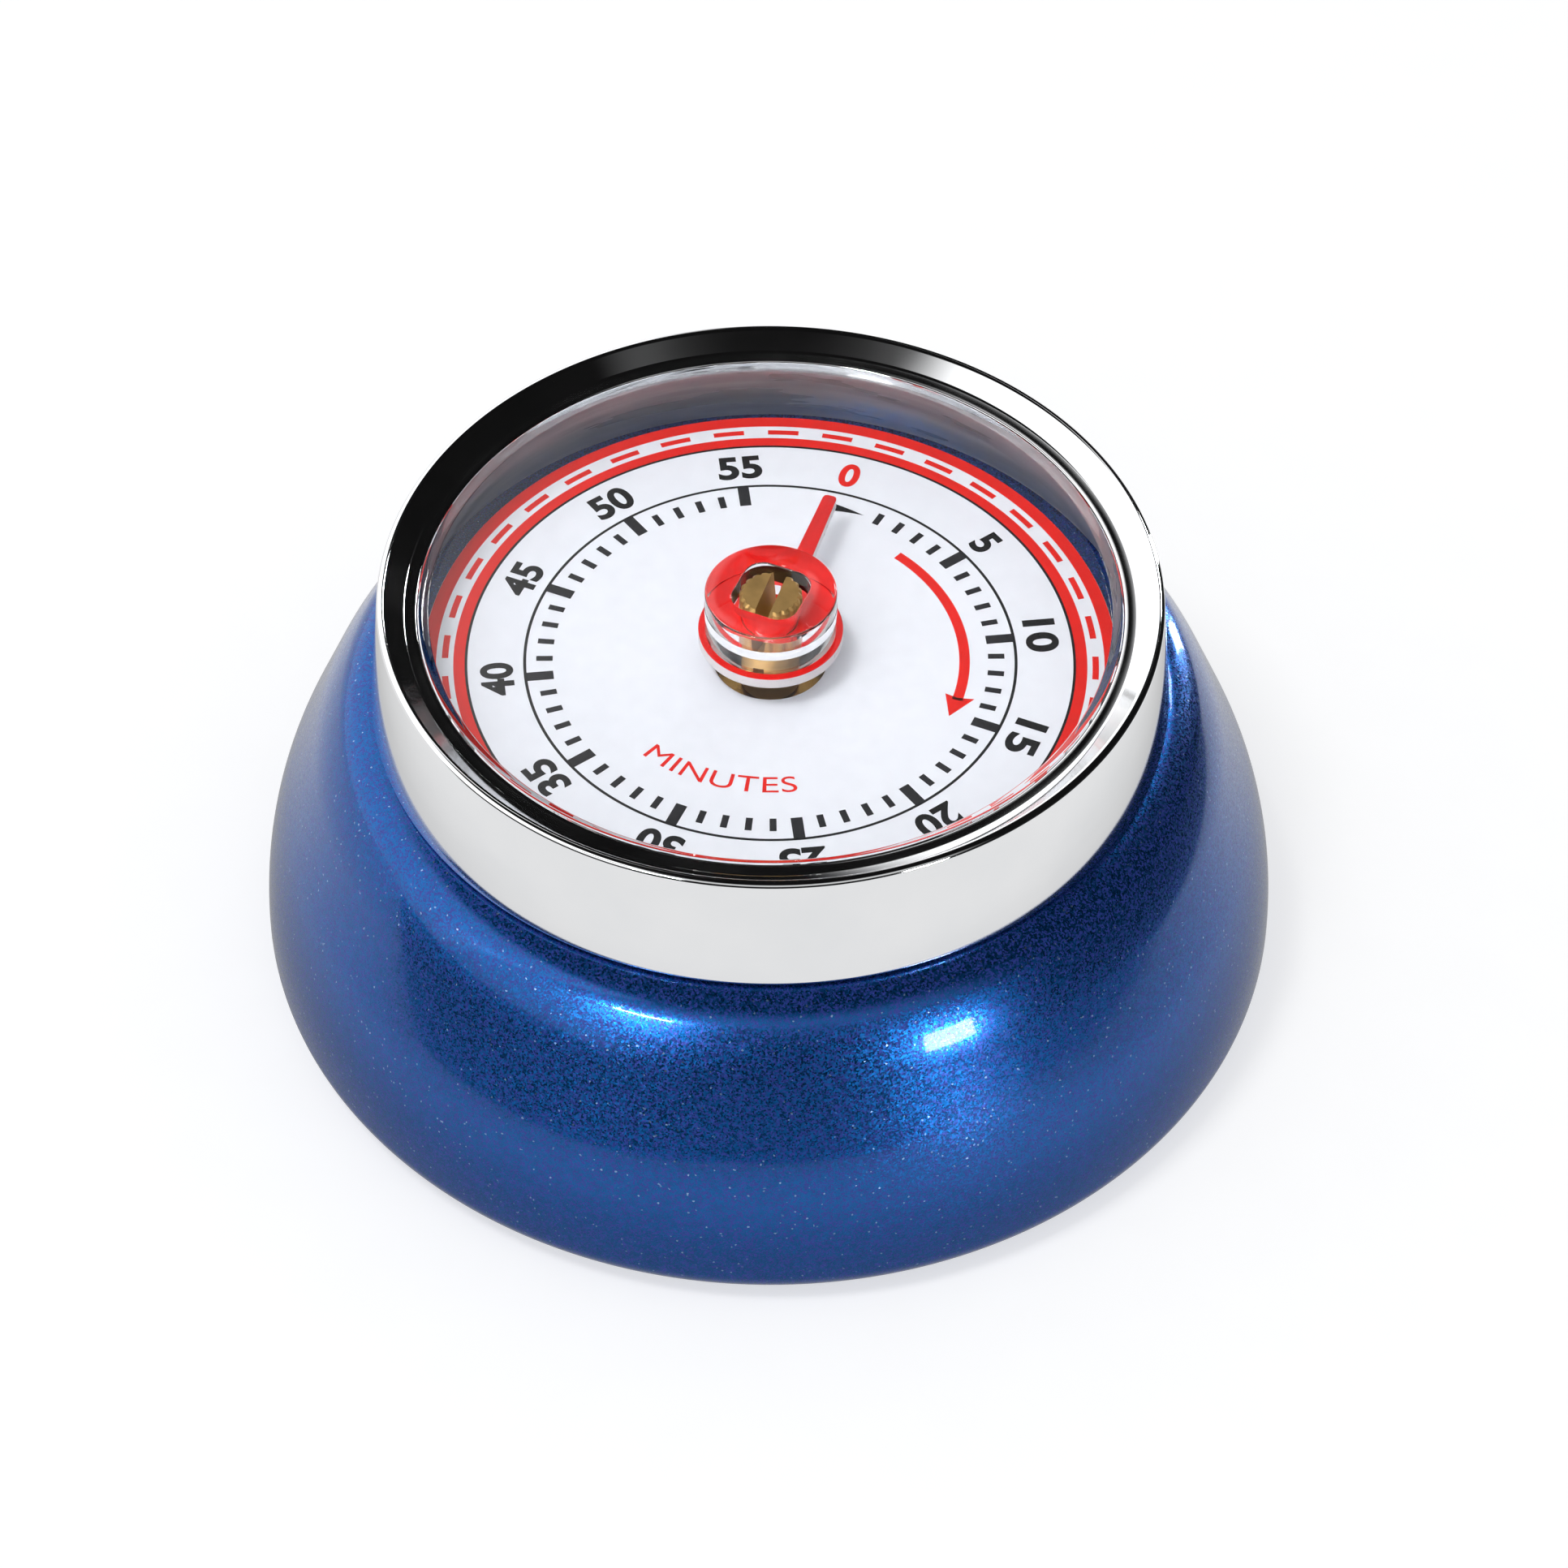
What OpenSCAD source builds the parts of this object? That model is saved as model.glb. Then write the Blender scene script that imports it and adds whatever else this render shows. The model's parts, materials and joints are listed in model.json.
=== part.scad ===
// Magnetic clockwork kitchen timer: a bun-shaped body with a turning chrome ring,
// a clear lens, a printed dial and a spring-driven movement that strikes a bell.
// Z is the arbor's axis, +Y points at the dial's zero, and the back rests on z = 0.

/* [Body] */
// Outer diameter of the body at its widest point
body_d = 70; // [67:0.5:76]
// Height of the widest point above the back
belly_z = 2.8; // [2.8:0.1:3.6]
// Radius of the rounded lower edge
belly_round = 2.3; // [2:0.1:2.4]
// Radius of the bowed flank above the belly
flank_round = 27; // [24:0.5:29]
// Slope of the upper flank, in degrees from upright
flank_slope = 23.5; // [20:0.5:25]
// Radius of the shoulder under the ring
shoulder_round = 3.9; // [3:0.1:5]
// Height of the flat deck under the ring
deck_z = 22.6; // [22:0.1:24]
// Wall thickness of the body
body_wall = 1.8; // [1.4:0.1:2]
// Thickness of the deck
deck_wall = 2.1; // [1.9:0.1:2.4]

/* [Dial] */
// Outer diameter of the dial
dial_d = 46.8; // [45.6:0.2:47.2]
// Thickness of the dial
dial_t = 0.5; // [0.3:0.1:0.8]
// Width of the painted neck that shows around the dial
neck_rim = 0.3; // [0.2:0.05:0.5]
// Height of the dial's seat above the deck
neck_h = 1.6; // [1.2:0.1:2]
// Diameter of the hole for the arbor
dial_hole_d = 7.7; // [6:0.1:9]

/* [Ring] */
// Thickness of the ring around the lens
ring_wall = 2.75; // [2.5:0.05:3.2]
// How much wider the ring is inside at its foot than under the lens, on the radius
ring_flare = 1.5; // [0.8:0.1:1.6]
// Thickness of the ledge that the lens lies on
ledge_t = 0.5; // [0.4:0.1:0.8]
// How much the ring narrows towards the rim, on the radius
ring_taper = 0.75; // [0.4:0.05:1]
// Height of the ring, from its foot to its rim
ring_h = 8.85; // [8.4:0.05:10]
// Gap between the ring's foot and the deck
ring_gap = 0.25; // [0.15:0.05:0.5]
// Clearance between the ring and the neck, on the radius
ring_clear = 0.45; // [0.3:0.05:0.5]
// Radius of the rounded rim
rim_round = 0.35; // [0.3:0.05:0.5]
// Slope of the bevel inside the rim, in degrees from level
bevel_slope = 39; // [36:1:50]

/* [Lens and hub] */
// Depth of the bevel's foot below the rim
bevel_drop = 1.1; // [0.8:0.1:1.3]
// How far the lip at the bevel's foot reaches inwards over the lens
lip_reach = 0.65; // [0.4:0.05:0.8]
// Thickness of that lip
lip_t = 0.25; // [0.2:0.05:0.4]
// Thickness of the lens
lens_t = 1.4; // [1:0.1:1.8]
// Depth of the groove that holds the lens's edge
lens_grip = 0.4; // [0.2:0.05:0.6]
// Diameter of the clear hub
hub_d = 8.8; // [8:0.1:9.6]
// Width of the square socket in the hub
socket_w = 4.6; // [4.3:0.1:5]
// Corner radius of the socket
socket_round = 1.3; // [1:0.1:1.6]
// Thickness of the hub's floor, which grips the arbor
hub_floor = 1.2; // [0.8:0.1:1.6]

/* [Pointer] */
// Diameter of the pointer's disc
pointer_disc_d = 9.7; // [9:0.1:11]
// Thickness of the pointer
pointer_t = 0.85; // [0.6:0.05:1.1]
// Gap between the dial and the pointer
pointer_gap = 2.05; // [1.5:0.05:2.3]
// Reach of the needle from the axis
pointer_reach = 13.3; // [11:0.1:16]
// Width of the needle at the disc
needle_root_w = 1.3; // [1:0.05:1.6]
// Width of the needle at its tip
needle_tip_w = 0.95; // [0.6:0.05:1]
// Angle at which the pointer rests, anticlockwise from the dial's zero
pointer_rest = 5.3; // [0:0.1:8]

/* [Rear cover and magnet] */
// Diameter of the rear cover
cover_d = 64; // [62:0.5:64.5]
// Thickness of the rear cover
cover_t = 2; // [1.6:0.1:2.3]
// How far the cover stands out below the body
cover_proud = 0.6; // [0.4:0.1:0.9]
// Diameter of the magnet
magnet_d = 30; // [24:1:32]
// Thickness of the magnet
magnet_t = 3.2; // [2.4:0.1:3.4]
// Wall around and above the magnet
magnet_wall = 1.2; // [0.8:0.1:1.4]

/* [Movement plates] */
// Thickness of both plates
plate_t = 1; // [0.8:0.1:1.2]
// Clear height between the plates
plates_gap = 10.4; // [10.2:0.1:10.6]
// Diameter of the front plate
front_plate_d = 42; // [41.4:0.2:43]
// Diameter of the rear plate
rear_plate_d = 36; // [35:0.5:37]
// Distance of the movement screws from the front plate's edge
screw_edge = 1.45; // [1.4:0.05:1.5]
// Distance of the pillars from the rear plate's edge
pillar_edge = 1.7; // [1.4:0.1:2]
// Diameter of the pillars
pillar_d = 2.6; // [2.2:0.1:2.8]
// Diameter of the pillars' riveted and threaded ends
pillar_end_d = 1.4; // [1.2:0.1:1.6]
// Width of the pillar nuts across their corners
nut_d = 3; // [2.6:0.1:3.4]
// Height of the pillar nuts
nut_h = 1; // [0.8:0.1:1.2]

/* [Main arbor] */
// Diameter of the arbor's upper end
arbor_top_d = 3.9; // [3.4:0.1:4.1]
// Diameter of the arbor between the plates
arbor_d = 3; // [2.6:0.1:3.2]
// Diameter of the arbor's lower pivot
arbor_pivot_d = 2.2; // [1.8:0.1:2.4]
// Depth of the arbor's end below the hub's top
arbor_drop = 0.7; // [0.4:0.1:1.2]
// Width of the slot at the arbor's end
slot_w = 1.3; // [0.8:0.1:1.6]
// Depth of the slot
slot_depth = 3; // [2:0.1:3.4]

/* [Wheel train] */
// Teeth on the great wheel
great_teeth = 60; // [60:4:64]
// Teeth on the second and third wheels
wheel_teeth = 48; // [48:4:52]
// Leaves on each pinion
pinion_leaves = 8; // [8:1:9]
// Module of the great wheel and its pinion
great_module = 0.36; // [0.34:0.005:0.365]
// Module of the second wheel and its pinion
second_module = 0.3; // [0.29:0.005:0.305]
// Module of the third wheel and its pinion
third_module = 0.28; // [0.26:0.005:0.285]
// Thickness of the great wheel
great_t = 0.8; // [0.6:0.05:0.9]
// Thickness of the smaller wheels
wheel_t = 0.6; // [0.4:0.05:0.7]
// Diameter of the train's arbors
staff_d = 1.1; // [0.9:0.05:1.2]
// Diameter of the train's pivots
pivot_d = 0.8; // [0.6:0.05:0.9]
// Direction of the second arbor from the axis
second_dir = 165; // [163:1:168]

/* [Escapement] */
// Diameter of the escape wheel
escape_d = 8.4; // [7.6:0.1:8.6]
// Teeth on the escape wheel
escape_teeth = 15; // [13:1:17]
// Distance between the escape wheel and the anchor's staff
anchor_at = 5.3; // [5.2:0.05:5.6]
// Diameter of the anchor's pins
pin_d = 0.5; // [0.4:0.05:0.6]
// Gap between the pins and the escape wheel's tips
pin_gap = 0.45; // [0.4:0.05:0.6]
// Length of the balance bar
balance_l = 10.4; // [9:0.1:11]
// Width of the balance bar
balance_w = 1.6; // [1.2:0.1:2]

/* [Mainspring and click] */
// Turns of the mainspring
spring_turns = 6; // [4:1:7]
// Thickness of the mainspring's strip
spring_strip = 0.25; // [0.2:0.05:0.35]
// Height of the mainspring
spring_h = 3.8; // [3:0.1:4]
// Outer radius of the coiled mainspring
spring_r = 8.2; // [7.5:0.1:8.4]
// Diameter of the ratchet wheel
ratchet_d = 8; // [7:0.2:8.6]
// Teeth on the ratchet wheel
ratchet_teeth = 12; // [10:1:14]

/* [Bell and hammer] */
// Diameter of the bell
bell_d = 46.2; // [45.6:0.2:47]
// Depth of the bell
bell_h = 7.9; // [7:0.1:8.4]
// Thickness of the bell
bell_t = 0.7; // [0.5:0.05:0.8]
// Radius of the bell's rounded corner
bell_round = 3; // [2:0.1:4]
// Diameter of the hammer's head
hammer_d = 2.6; // [2:0.1:2.8]
// Height of the hammer's head
hammer_h = 2; // [1.6:0.1:2.2]
// Gap between the hammer at rest and the bell
hammer_gap = 0.7; // [0.5:0.05:1]
// Distance of the hammer's arbor from the axis
hammer_at = 13.5; // [13.2:0.1:13.8]
// Diameter of the strike cam
cam_d = 8.4; // [7.6:0.1:9]

/* [Screws] */
// Distance of the case screws from the axis
case_screw_at = 26.6; // [26.4:0.1:27]
// Diameter of the case screws' thread
case_screw_d = 2; // [1.6:0.1:2.2]
// Diameter of the case screws' heads
case_head_d = 4.2; // [3.6:0.1:4.4]
// Reach of the case screws into their posts
case_screw_grip = 7; // [5:0.5:9]
// Diameter of the posts that take the case screws
post_d = 4.4; // [4:0.1:4.6]
// Diameter of the movement screws' thread
plate_screw_d = 1.4; // [1.2:0.1:1.6]
// Diameter of the movement screws' heads
plate_head_d = 2.6; // [2.2:0.1:2.8]

/* [Hidden] */
$fn = 96;

// Fits
run_clear = 0.05;      // a pivot in its bore, on the radius
end_shake = 0.2;       // a shoulder beside its plate, along the axis
seat_clear = 0.1;      // a loose fit around a fixed piece
fit_clear = 0.03;      // a pressed or glued piece in its seat, on the radius
part_clear = 0.3;      // between neighbours that don't touch
weld = 0.005;          // how far a straight edge ends inside the arc that it runs into

// Body
body_r = body_d / 2;
belly_cr = body_r - belly_round;
flank_cr = body_r - flank_round;
function flank_end(inset) = [
    flank_cr + (flank_round - inset) * cos(flank_slope),
    belly_z + (flank_round - inset) * sin(flank_slope)
];
shoulder_cz = deck_z - shoulder_round;
shoulder_touch_z = shoulder_cz + shoulder_round * sin(flank_slope);
shoulder_touch_r = flank_end(0)[0] - (shoulder_touch_z - flank_end(0)[1]) * tan(flank_slope);
shoulder_cr = shoulder_touch_r - shoulder_round * cos(flank_slope);
function shoulder_start(inset) = [
    shoulder_cr + (shoulder_round - inset) * cos(flank_slope),
    shoulder_cz + (shoulder_round - inset) * sin(flank_slope)
];
seat_z = deck_z + neck_h;
roof_z = seat_z - body_wall;
neck_r = dial_d / 2 + neck_rim;
opening_r = cover_d / 2 + seat_clear;

// Dial, ring and lens
dial_top = seat_z + dial_t;
ring_z = deck_z + ring_gap;
rim_z = ring_z + ring_h;
ring_in_r = neck_r + ring_clear;
ring_r = ring_in_r + ring_wall;
rim_cr = ring_r - ring_taper - rim_round;
rim_cz = rim_z - rim_round;
bevel_top = [rim_cr - rim_round * sin(bevel_slope), rim_cz + rim_round * cos(bevel_slope)];
lip_z = rim_z - bevel_drop;
lip_r = ring_in_r - lip_reach;
lens_top = lip_z - lip_t;
lens_z = lens_top - lens_t;
bevel_foot_r = bevel_top[0] - (bevel_top[1] - lip_z) / tan(bevel_slope);
lens_r = ring_in_r + lens_grip;
pointer_z = dial_top + pointer_gap;
hub_z = pointer_z + pointer_t;

// Rear cover
shell_foot_z = cover_proud;
well_top = magnet_t + magnet_wall;

// Movement levels, each wheel a gap above what lies under it
spring_gap = 0.4;
great_gap = 0.8;
second_gap = 0.8;
third_gap = 0.7;
escape_gap = 2.5;
balance_gap = 0.8;
hammer_arm_gap = 1.2;
click_t = 0.6;
cam_t = 0.8;
balance_t = 0.7;
front_z = roof_z - plate_t;
rear_top = front_z - plates_gap;
rear_z = rear_top - plate_t;
spring_z = rear_top + spring_gap;
great_z = spring_z + spring_h + great_gap;
second_wheel_z = great_z + great_t + click_t + second_gap;
third_wheel_z = second_wheel_z + wheel_t + third_gap;
cam_z = second_wheel_z + wheel_t + part_clear;
escape_z = rear_top + escape_gap;
balance_z = rear_top + balance_gap;
pinion_over = 0.35;    // a pinion's reach past its wheel's faces

// Wheel centres
function polar(r, a) = [r * cos(a), r * sin(a)];
function corner(a, b, c) = acos((a * a + b * b - c * c) / (2 * a * b));
function mesh_gap(teeth, module_mm) = module_mm * (teeth + pinion_leaves) / 2;
second_at = mesh_gap(great_teeth, great_module);
third_at = 13.4;
escape_at = 14.6;
third_dir = second_dir - corner(second_at, third_at, mesh_gap(wheel_teeth, second_module));
escape_dir = third_dir - corner(third_at, escape_at, mesh_gap(wheel_teeth, third_module));
anchor_dir = escape_dir - corner(escape_at, escape_at, anchor_at);
second_c = polar(second_at, second_dir);
third_c = polar(third_at, third_dir);
escape_c = polar(escape_at, escape_dir);
anchor_c = polar(escape_at, anchor_dir);
function bearing(p, q) = atan2(q[1] - p[1], q[0] - p[0]);

// The turn that sets a pinion's gap over the wheel's tooth on the line of centres
function mesh_turn(dir, wheel_turn, wheel_n, pinion_n) =
    dir + 180 + 180 / pinion_n + (dir - wheel_turn) * wheel_n / pinion_n;
second_turn = mesh_turn(second_dir, 0, great_teeth, pinion_leaves);
third_turn = mesh_turn(bearing(second_c, third_c), second_turn, wheel_teeth, pinion_leaves);
escape_turn = mesh_turn(bearing(third_c, escape_c), third_turn, wheel_teeth, pinion_leaves);

// Tooth outlines as [height from the pitch circle, half thickness], both in modules
wheel_tooth = [[-1.5, 0.7], [0, 0.7], [0.7, 0.46], [1.15, 0.14]];
pinion_leaf = [[-1.7, 0.3], [0, 0.56], [0.5, 0.36], [0.72, 0.12]];
function tooth_side(r, m, outline, a, side) = [
    for (i = [0 : len(outline) - 1])
        let (p = outline[side < 0 ? i : len(outline) - 1 - i], h = r + p[0] * m)
        polar(h, a + side * p[1] * m / h * 180 / PI)
];
function gear_points(n, m, outline) = [
    for (i = [0 : n - 1])
        for (side = [-1, 1])
            for (p = tooth_side(n * m / 2, m, outline, i * 360 / n, side))
                p
];

// Places around the axis
pillar_dirs = [30, 205, 325];
movement_screw_dirs = [55, 190, 285];
case_screw_dirs = [30, 150, 270];
pillar_at = rear_plate_d / 2 - pillar_edge;
movement_screw_at = front_plate_d / 2 - screw_edge;

// Hammer
hammer_dir = 250;
hammer_c = polar(hammer_at, hammer_dir);
bell_in_r = bell_d / 2 - bell_t;
hammer_head_at = bell_in_r - hammer_gap - hammer_d / 2;
hammer_head_dir = 275;
hammer_head_c = polar(hammer_head_at, hammer_head_dir);
hammer_z = rear_top + hammer_arm_gap;
hammer_arm_t = 0.8;
hammer_arm_w = 1.4;
nose_gap = 0.15;
hammer_tube_d = staff_d + 0.9;
hammer_pin_d = 1;

// Bell, hung under the rear plate
bell_screw_head = 1;
bell_z = well_top + part_clear + bell_screw_head;
bell_screw_d = 2;
bell_post_d = 4.4;

module at(c, z) {
    translate([c[0], c[1], z]) children();
}

module each_at(r, dirs) {
    for (a = dirs)
        rotate(a) translate([r, 0, 0]) children();
}

module gear(n, m, outline, t) {
    linear_extrude(t) polygon(gear_points(n, m, outline));
}

// A straight bar from p to q with round ends
module bar(p, q, w, t) {
    for (c = [p, q])
        translate([c[0], c[1], 0]) cylinder(d = w, h = t);
    translate([p[0], p[1], 0]) rotate(bearing(p, q))
        translate([0, -w / 2, 0]) cube([norm(q - p), w, t]);
}

// Half section of the body's outside, drawn inwards by inset
module bun_2d(inset) {
    translate([belly_cr, belly_z]) circle(r = belly_round - inset);
    translate([0, belly_z - belly_round + inset])
        square([belly_cr, belly_round - inset]);
    intersection() {
        translate([flank_cr, belly_z]) circle(r = flank_round - inset);
        translate([0, belly_z]) square([body_r, flank_end(inset)[1] - belly_z + shoulder_round / 4]);
    }
    lower = flank_end(inset + weld);
    upper = shoulder_start(inset + weld);
    polygon([[0, lower[1]], lower, upper, [0, upper[1]]]);
    translate([shoulder_cr, shoulder_cz]) circle(r = shoulder_round - inset);
    translate([0, lower[1]]) square([shoulder_cr, deck_z - inset - lower[1]]);
}

module body_shell() {
    color("royalblue") difference() {
        union() {
            rotate_extrude() difference() {
                union() {
                    bun_2d(0);
                    translate([0, shoulder_cz]) square([neck_r, seat_z - shoulder_cz]);
                }
                intersection() {
                    bun_2d(body_wall);
                    square([body_r, deck_z - deck_wall]);
                }
                translate([0, belly_z]) square([neck_r - body_wall, roof_z - belly_z]);
                square([opening_r, belly_z]);
                square([body_r, shell_foot_z]);
            }
            intersection() {
                each_at(case_screw_at, case_screw_dirs)
                    translate([0, 0, cover_t]) cylinder(d = post_d, h = deck_z - cover_t);
                rotate_extrude() bun_2d(body_wall / 2);
            }
        }
        translate([0, 0, roof_z - 1]) cylinder(d = dial_hole_d, h = body_wall + 2);
        each_at(case_screw_at, case_screw_dirs)
            translate([0, 0, cover_t - 1]) cylinder(d = case_screw_d, h = case_screw_grip + 1.5);
        each_at(movement_screw_at, movement_screw_dirs)
            translate([0, 0, roof_z - 1]) cylinder(d = plate_screw_d, h = body_wall + 0.5);
    }
}

module dial_plate() {
    color("white") translate([0, 0, seat_z]) difference() {
        cylinder(d = dial_d, h = dial_t);
        translate([0, 0, -1]) cylinder(d = dial_hole_d, h = dial_t + 2);
    }
}

module rear_cover() {
    color("gainsboro") difference() {
        union() {
            cylinder(d = cover_d, h = cover_t);
            cylinder(r = magnet_d / 2 + seat_clear + magnet_wall, h = well_top);
        }
        translate([0, 0, -1]) cylinder(r = magnet_d / 2 + seat_clear, h = magnet_t + 1);
        each_at(case_screw_at, case_screw_dirs) {
            translate([0, 0, -1]) cylinder(d = case_screw_d + seat_clear, h = cover_t + 2);
            translate([0, 0, -1]) cylinder(d = case_head_d + 2 * seat_clear, h = cover_t / 2 + 1);
        }
    }
}

module magnet() {
    color("dimgray") cylinder(d = magnet_d, h = magnet_t);
}

// A screw along +Z with its head below z = 0 and a crossed recess in it
module cross_screw(d, grip, head_d, head_h) {
    difference() {
        union() {
            cylinder(d = d, h = grip);
            translate([0, 0, -head_h]) cylinder(d = head_d, h = head_h);
        }
        for (a = [0, 90])
            rotate(a) translate([-head_d * 0.3, -head_d * 0.07, -head_h - 1])
                cube([head_d * 0.6, head_d * 0.14, head_h * 0.6 + 1]);
    }
}

module case_screws() {
    color("silver") each_at(case_screw_at, case_screw_dirs)
        translate([0, 0, cover_t / 2])
            cross_screw(case_screw_d, cover_t / 2 + case_screw_grip, case_head_d,
                        cover_t / 2 - seat_clear);
}

module movement_screws() {
    color("silver") each_at(movement_screw_at, movement_screw_dirs)
        translate([0, 0, front_z])
            cross_screw(plate_screw_d, plate_t + body_wall * 0.6, plate_head_d, 0.7);
}

// Bores for the train's pivots, shared by both plates
module pivot_bores() {
    for (c = [second_c, third_c, escape_c, anchor_c, hammer_c])
        at(c, -1) cylinder(r = pivot_d / 2 + run_clear, h = plate_t + 2);
    each_at(pillar_at, pillar_dirs)
        translate([0, 0, -1]) cylinder(d = pillar_end_d, h = plate_t + 2);
}

module front_plate() {
    color("goldenrod") translate([0, 0, front_z]) difference() {
        cylinder(d = front_plate_d, h = plate_t);
        translate([0, 0, -1]) cylinder(r = arbor_d / 2 + run_clear, h = plate_t + 2);
        pivot_bores();
        each_at(movement_screw_at, movement_screw_dirs)
            translate([0, 0, -1]) cylinder(r = plate_screw_d / 2 + run_clear, h = plate_t + 2);
    }
}

module rear_plate() {
    color("goldenrod") translate([0, 0, rear_z]) difference() {
        cylinder(d = rear_plate_d, h = plate_t);
        translate([0, 0, -1]) cylinder(r = arbor_pivot_d / 2 + run_clear, h = plate_t + 2);
        pivot_bores();
    }
}

module plate_pillars() {
    color("darkgoldenrod") each_at(pillar_at, pillar_dirs) {
        translate([0, 0, rear_top]) cylinder(d = pillar_d, h = plates_gap);
        translate([0, 0, rear_z - nut_h]) cylinder(d = pillar_end_d, h = front_z + plate_t - rear_z + nut_h);
    }
}

module pillar_nuts() {
    color("silver") each_at(pillar_at, pillar_dirs)
        translate([0, 0, rear_z - nut_h]) difference() {
            cylinder(d = nut_d, h = nut_h, $fn = 6);
            translate([0, 0, -1]) cylinder(d = pillar_end_d, h = nut_h + 2);
        }
}

module bezel_ring() {
    color("lightgray") rotate_extrude() difference() {
        union() {
            polygon([
                [ring_in_r + ring_flare, ring_z], [ring_r, ring_z], [ring_r - ring_taper, rim_cz],
                [rim_cr, rim_cz], bevel_top, [bevel_foot_r, lip_z],
                [lip_r, lip_z], [lip_r, lens_top], [ring_in_r, lens_top],
                [ring_in_r, lens_z - ledge_t]
            ]);
            translate([rim_cr, rim_cz]) circle(r = rim_round);
        }
        translate([0, lens_z]) square([lens_r, lens_t]);
    }
}

module rounded_square_2d(w, r) {
    square([w, w - 2 * r], center = true);
    square([w - 2 * r, w], center = true);
    for (x = [-1, 1], y = [-1, 1])
        translate([x, y] * (w / 2 - r)) circle(r = r);
}

module lens() {
    color("aliceblue", 0.4) difference() {
        union() {
            translate([0, 0, lens_z]) cylinder(r = lens_r - fit_clear, h = lens_t);
            translate([0, 0, hub_z]) cylinder(d = hub_d, h = rim_z - hub_z);
        }
        translate([0, 0, hub_z - 1]) cylinder(r = arbor_top_d / 2 + fit_clear, h = hub_floor + 2);
        translate([0, 0, hub_z + hub_floor])
            linear_extrude(rim_z - hub_z) rounded_square_2d(socket_w, socket_round);
    }
}

module pointer() {
    color("red") translate([0, 0, pointer_z]) difference() {
        union() {
            cylinder(d = pointer_disc_d, h = pointer_t);
            rotate(90 + pointer_rest) linear_extrude(pointer_t) polygon([
                [0, -needle_root_w / 2], [pointer_reach, -needle_tip_w / 2],
                [pointer_reach, needle_tip_w / 2], [0, needle_root_w / 2]
            ]);
        }
        translate([0, 0, -1]) cylinder(r = arbor_top_d / 2 + fit_clear, h = pointer_t + 2);
    }
}

module main_arbor() {
    top_z = rim_z - arbor_drop;
    collar_h = 0.8;
    collar_z = front_z - end_shake - collar_h;
    color("peru") difference() {
        union() {
            translate([0, 0, front_z + plate_t + end_shake])
                cylinder(d = arbor_top_d, h = top_z - front_z - plate_t - end_shake);
            translate([0, 0, rear_top + end_shake])
                cylinder(d = arbor_d, h = front_z + plate_t - rear_top);
            translate([0, 0, rear_z + seat_clear])
                cylinder(d = arbor_pivot_d, h = plate_t + end_shake);
            translate([0, 0, collar_z]) cylinder(d = arbor_d + 1.2, h = collar_h);
        }
        translate([0, arbor_top_d, top_z]) rotate([90, 0, 0]) linear_extrude(2 * arbor_top_d)
            polygon([
                [-slot_w / 2, 1], [-slot_w / 2, 0], [-slot_w / 5, -slot_depth],
                [slot_w / 5, -slot_depth], [slot_w / 2, 0], [slot_w / 2, 1]
            ]);
    }
}

// The strip winds outwards from just off the arbor and hooks onto a pillar
module mainspring() {
    steps = spring_turns * 24;
    start_r = arbor_d / 2 + part_clear;
    hook_dir = pillar_dirs[1];
    function strip(i, side) = polar(
        start_r + (spring_r - spring_strip - start_r) * i / steps + side * spring_strip,
        hook_dir + (i - steps) * 15);
    color("slategray") translate([0, 0, spring_z]) {
        linear_extrude(spring_h) polygon(concat(
            [for (i = [0 : steps]) strip(i, 0)],
            [for (i = [steps : -1 : 0]) strip(i, 1)]
        ));
        rotate(hook_dir) translate([spring_r - spring_strip, 0, 0])
            cube([pillar_at - pillar_d / 2 - spring_r + spring_strip, spring_strip, spring_h]);
    }
}

module great_wheel() {
    rim_r = great_teeth * great_module / 2 - 2.6 * great_module;
    hub_r = ratchet_d / 2 + 1.7;
    color("gold") translate([0, 0, great_z]) difference() {
        gear(great_teeth, great_module, wheel_tooth, great_t);
        translate([0, 0, -1]) cylinder(d = arbor_d, h = great_t + 2);
        for (a = [0 : 90 : 270])
            rotate(a) translate([0, 0, -1]) linear_extrude(great_t + 2) polygon([
                polar(hub_r, 12), polar(rim_r, 12), polar(rim_r, 45), polar(rim_r, 78), polar(hub_r, 78)
            ]);
    }
}

module ratchet_wheel() {
    tip_r = ratchet_d / 2;
    step = 360 / ratchet_teeth;
    color("silver") translate([0, 0, great_z + great_t]) difference() {
        linear_extrude(click_t) polygon([
            for (i = [0 : ratchet_teeth - 1])
                for (p = [polar(tip_r, i * step), polar(tip_r - 0.8, i * step + 0.12 * step)])
                    p
        ]);
        translate([0, 0, -1]) cylinder(d = arbor_d, h = click_t + 2);
    }
}

click_post_c = polar(ratchet_d / 2 + 1.1, 330);
click_tip_c = polar(ratchet_d / 2 + 0.45, 352);

module click_pawl() {
    color("silver") translate([0, 0, great_z + great_t]) {
        bar(click_post_c, click_tip_c, 0.8, click_t);
        at(click_post_c, 0) cylinder(d = 1.1, h = click_t + 0.2);
    }
}

module click_spring() {
    color("slategray") translate([0, 0, great_z + great_t]) {
        bar(polar(ratchet_d / 2 + 1.35, 20), polar(ratchet_d / 2 + 1.05, 354), 0.3, click_t / 2);
        at(polar(ratchet_d / 2 + 1.3, 20), 0) cylinder(d = 0.9, h = click_t);
    }
}

module strike_cam() {
    color("gold") translate([0, 0, cam_z]) difference() {
        cylinder(d = cam_d, h = cam_t);
        translate([0, 0, -1]) cylinder(d = arbor_d, h = cam_t + 2);
        rotate(hammer_dir) translate([cam_d / 2 - 1, -0.9, -1]) cube([2, 1.8, cam_t + 2]);
    }
}

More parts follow.
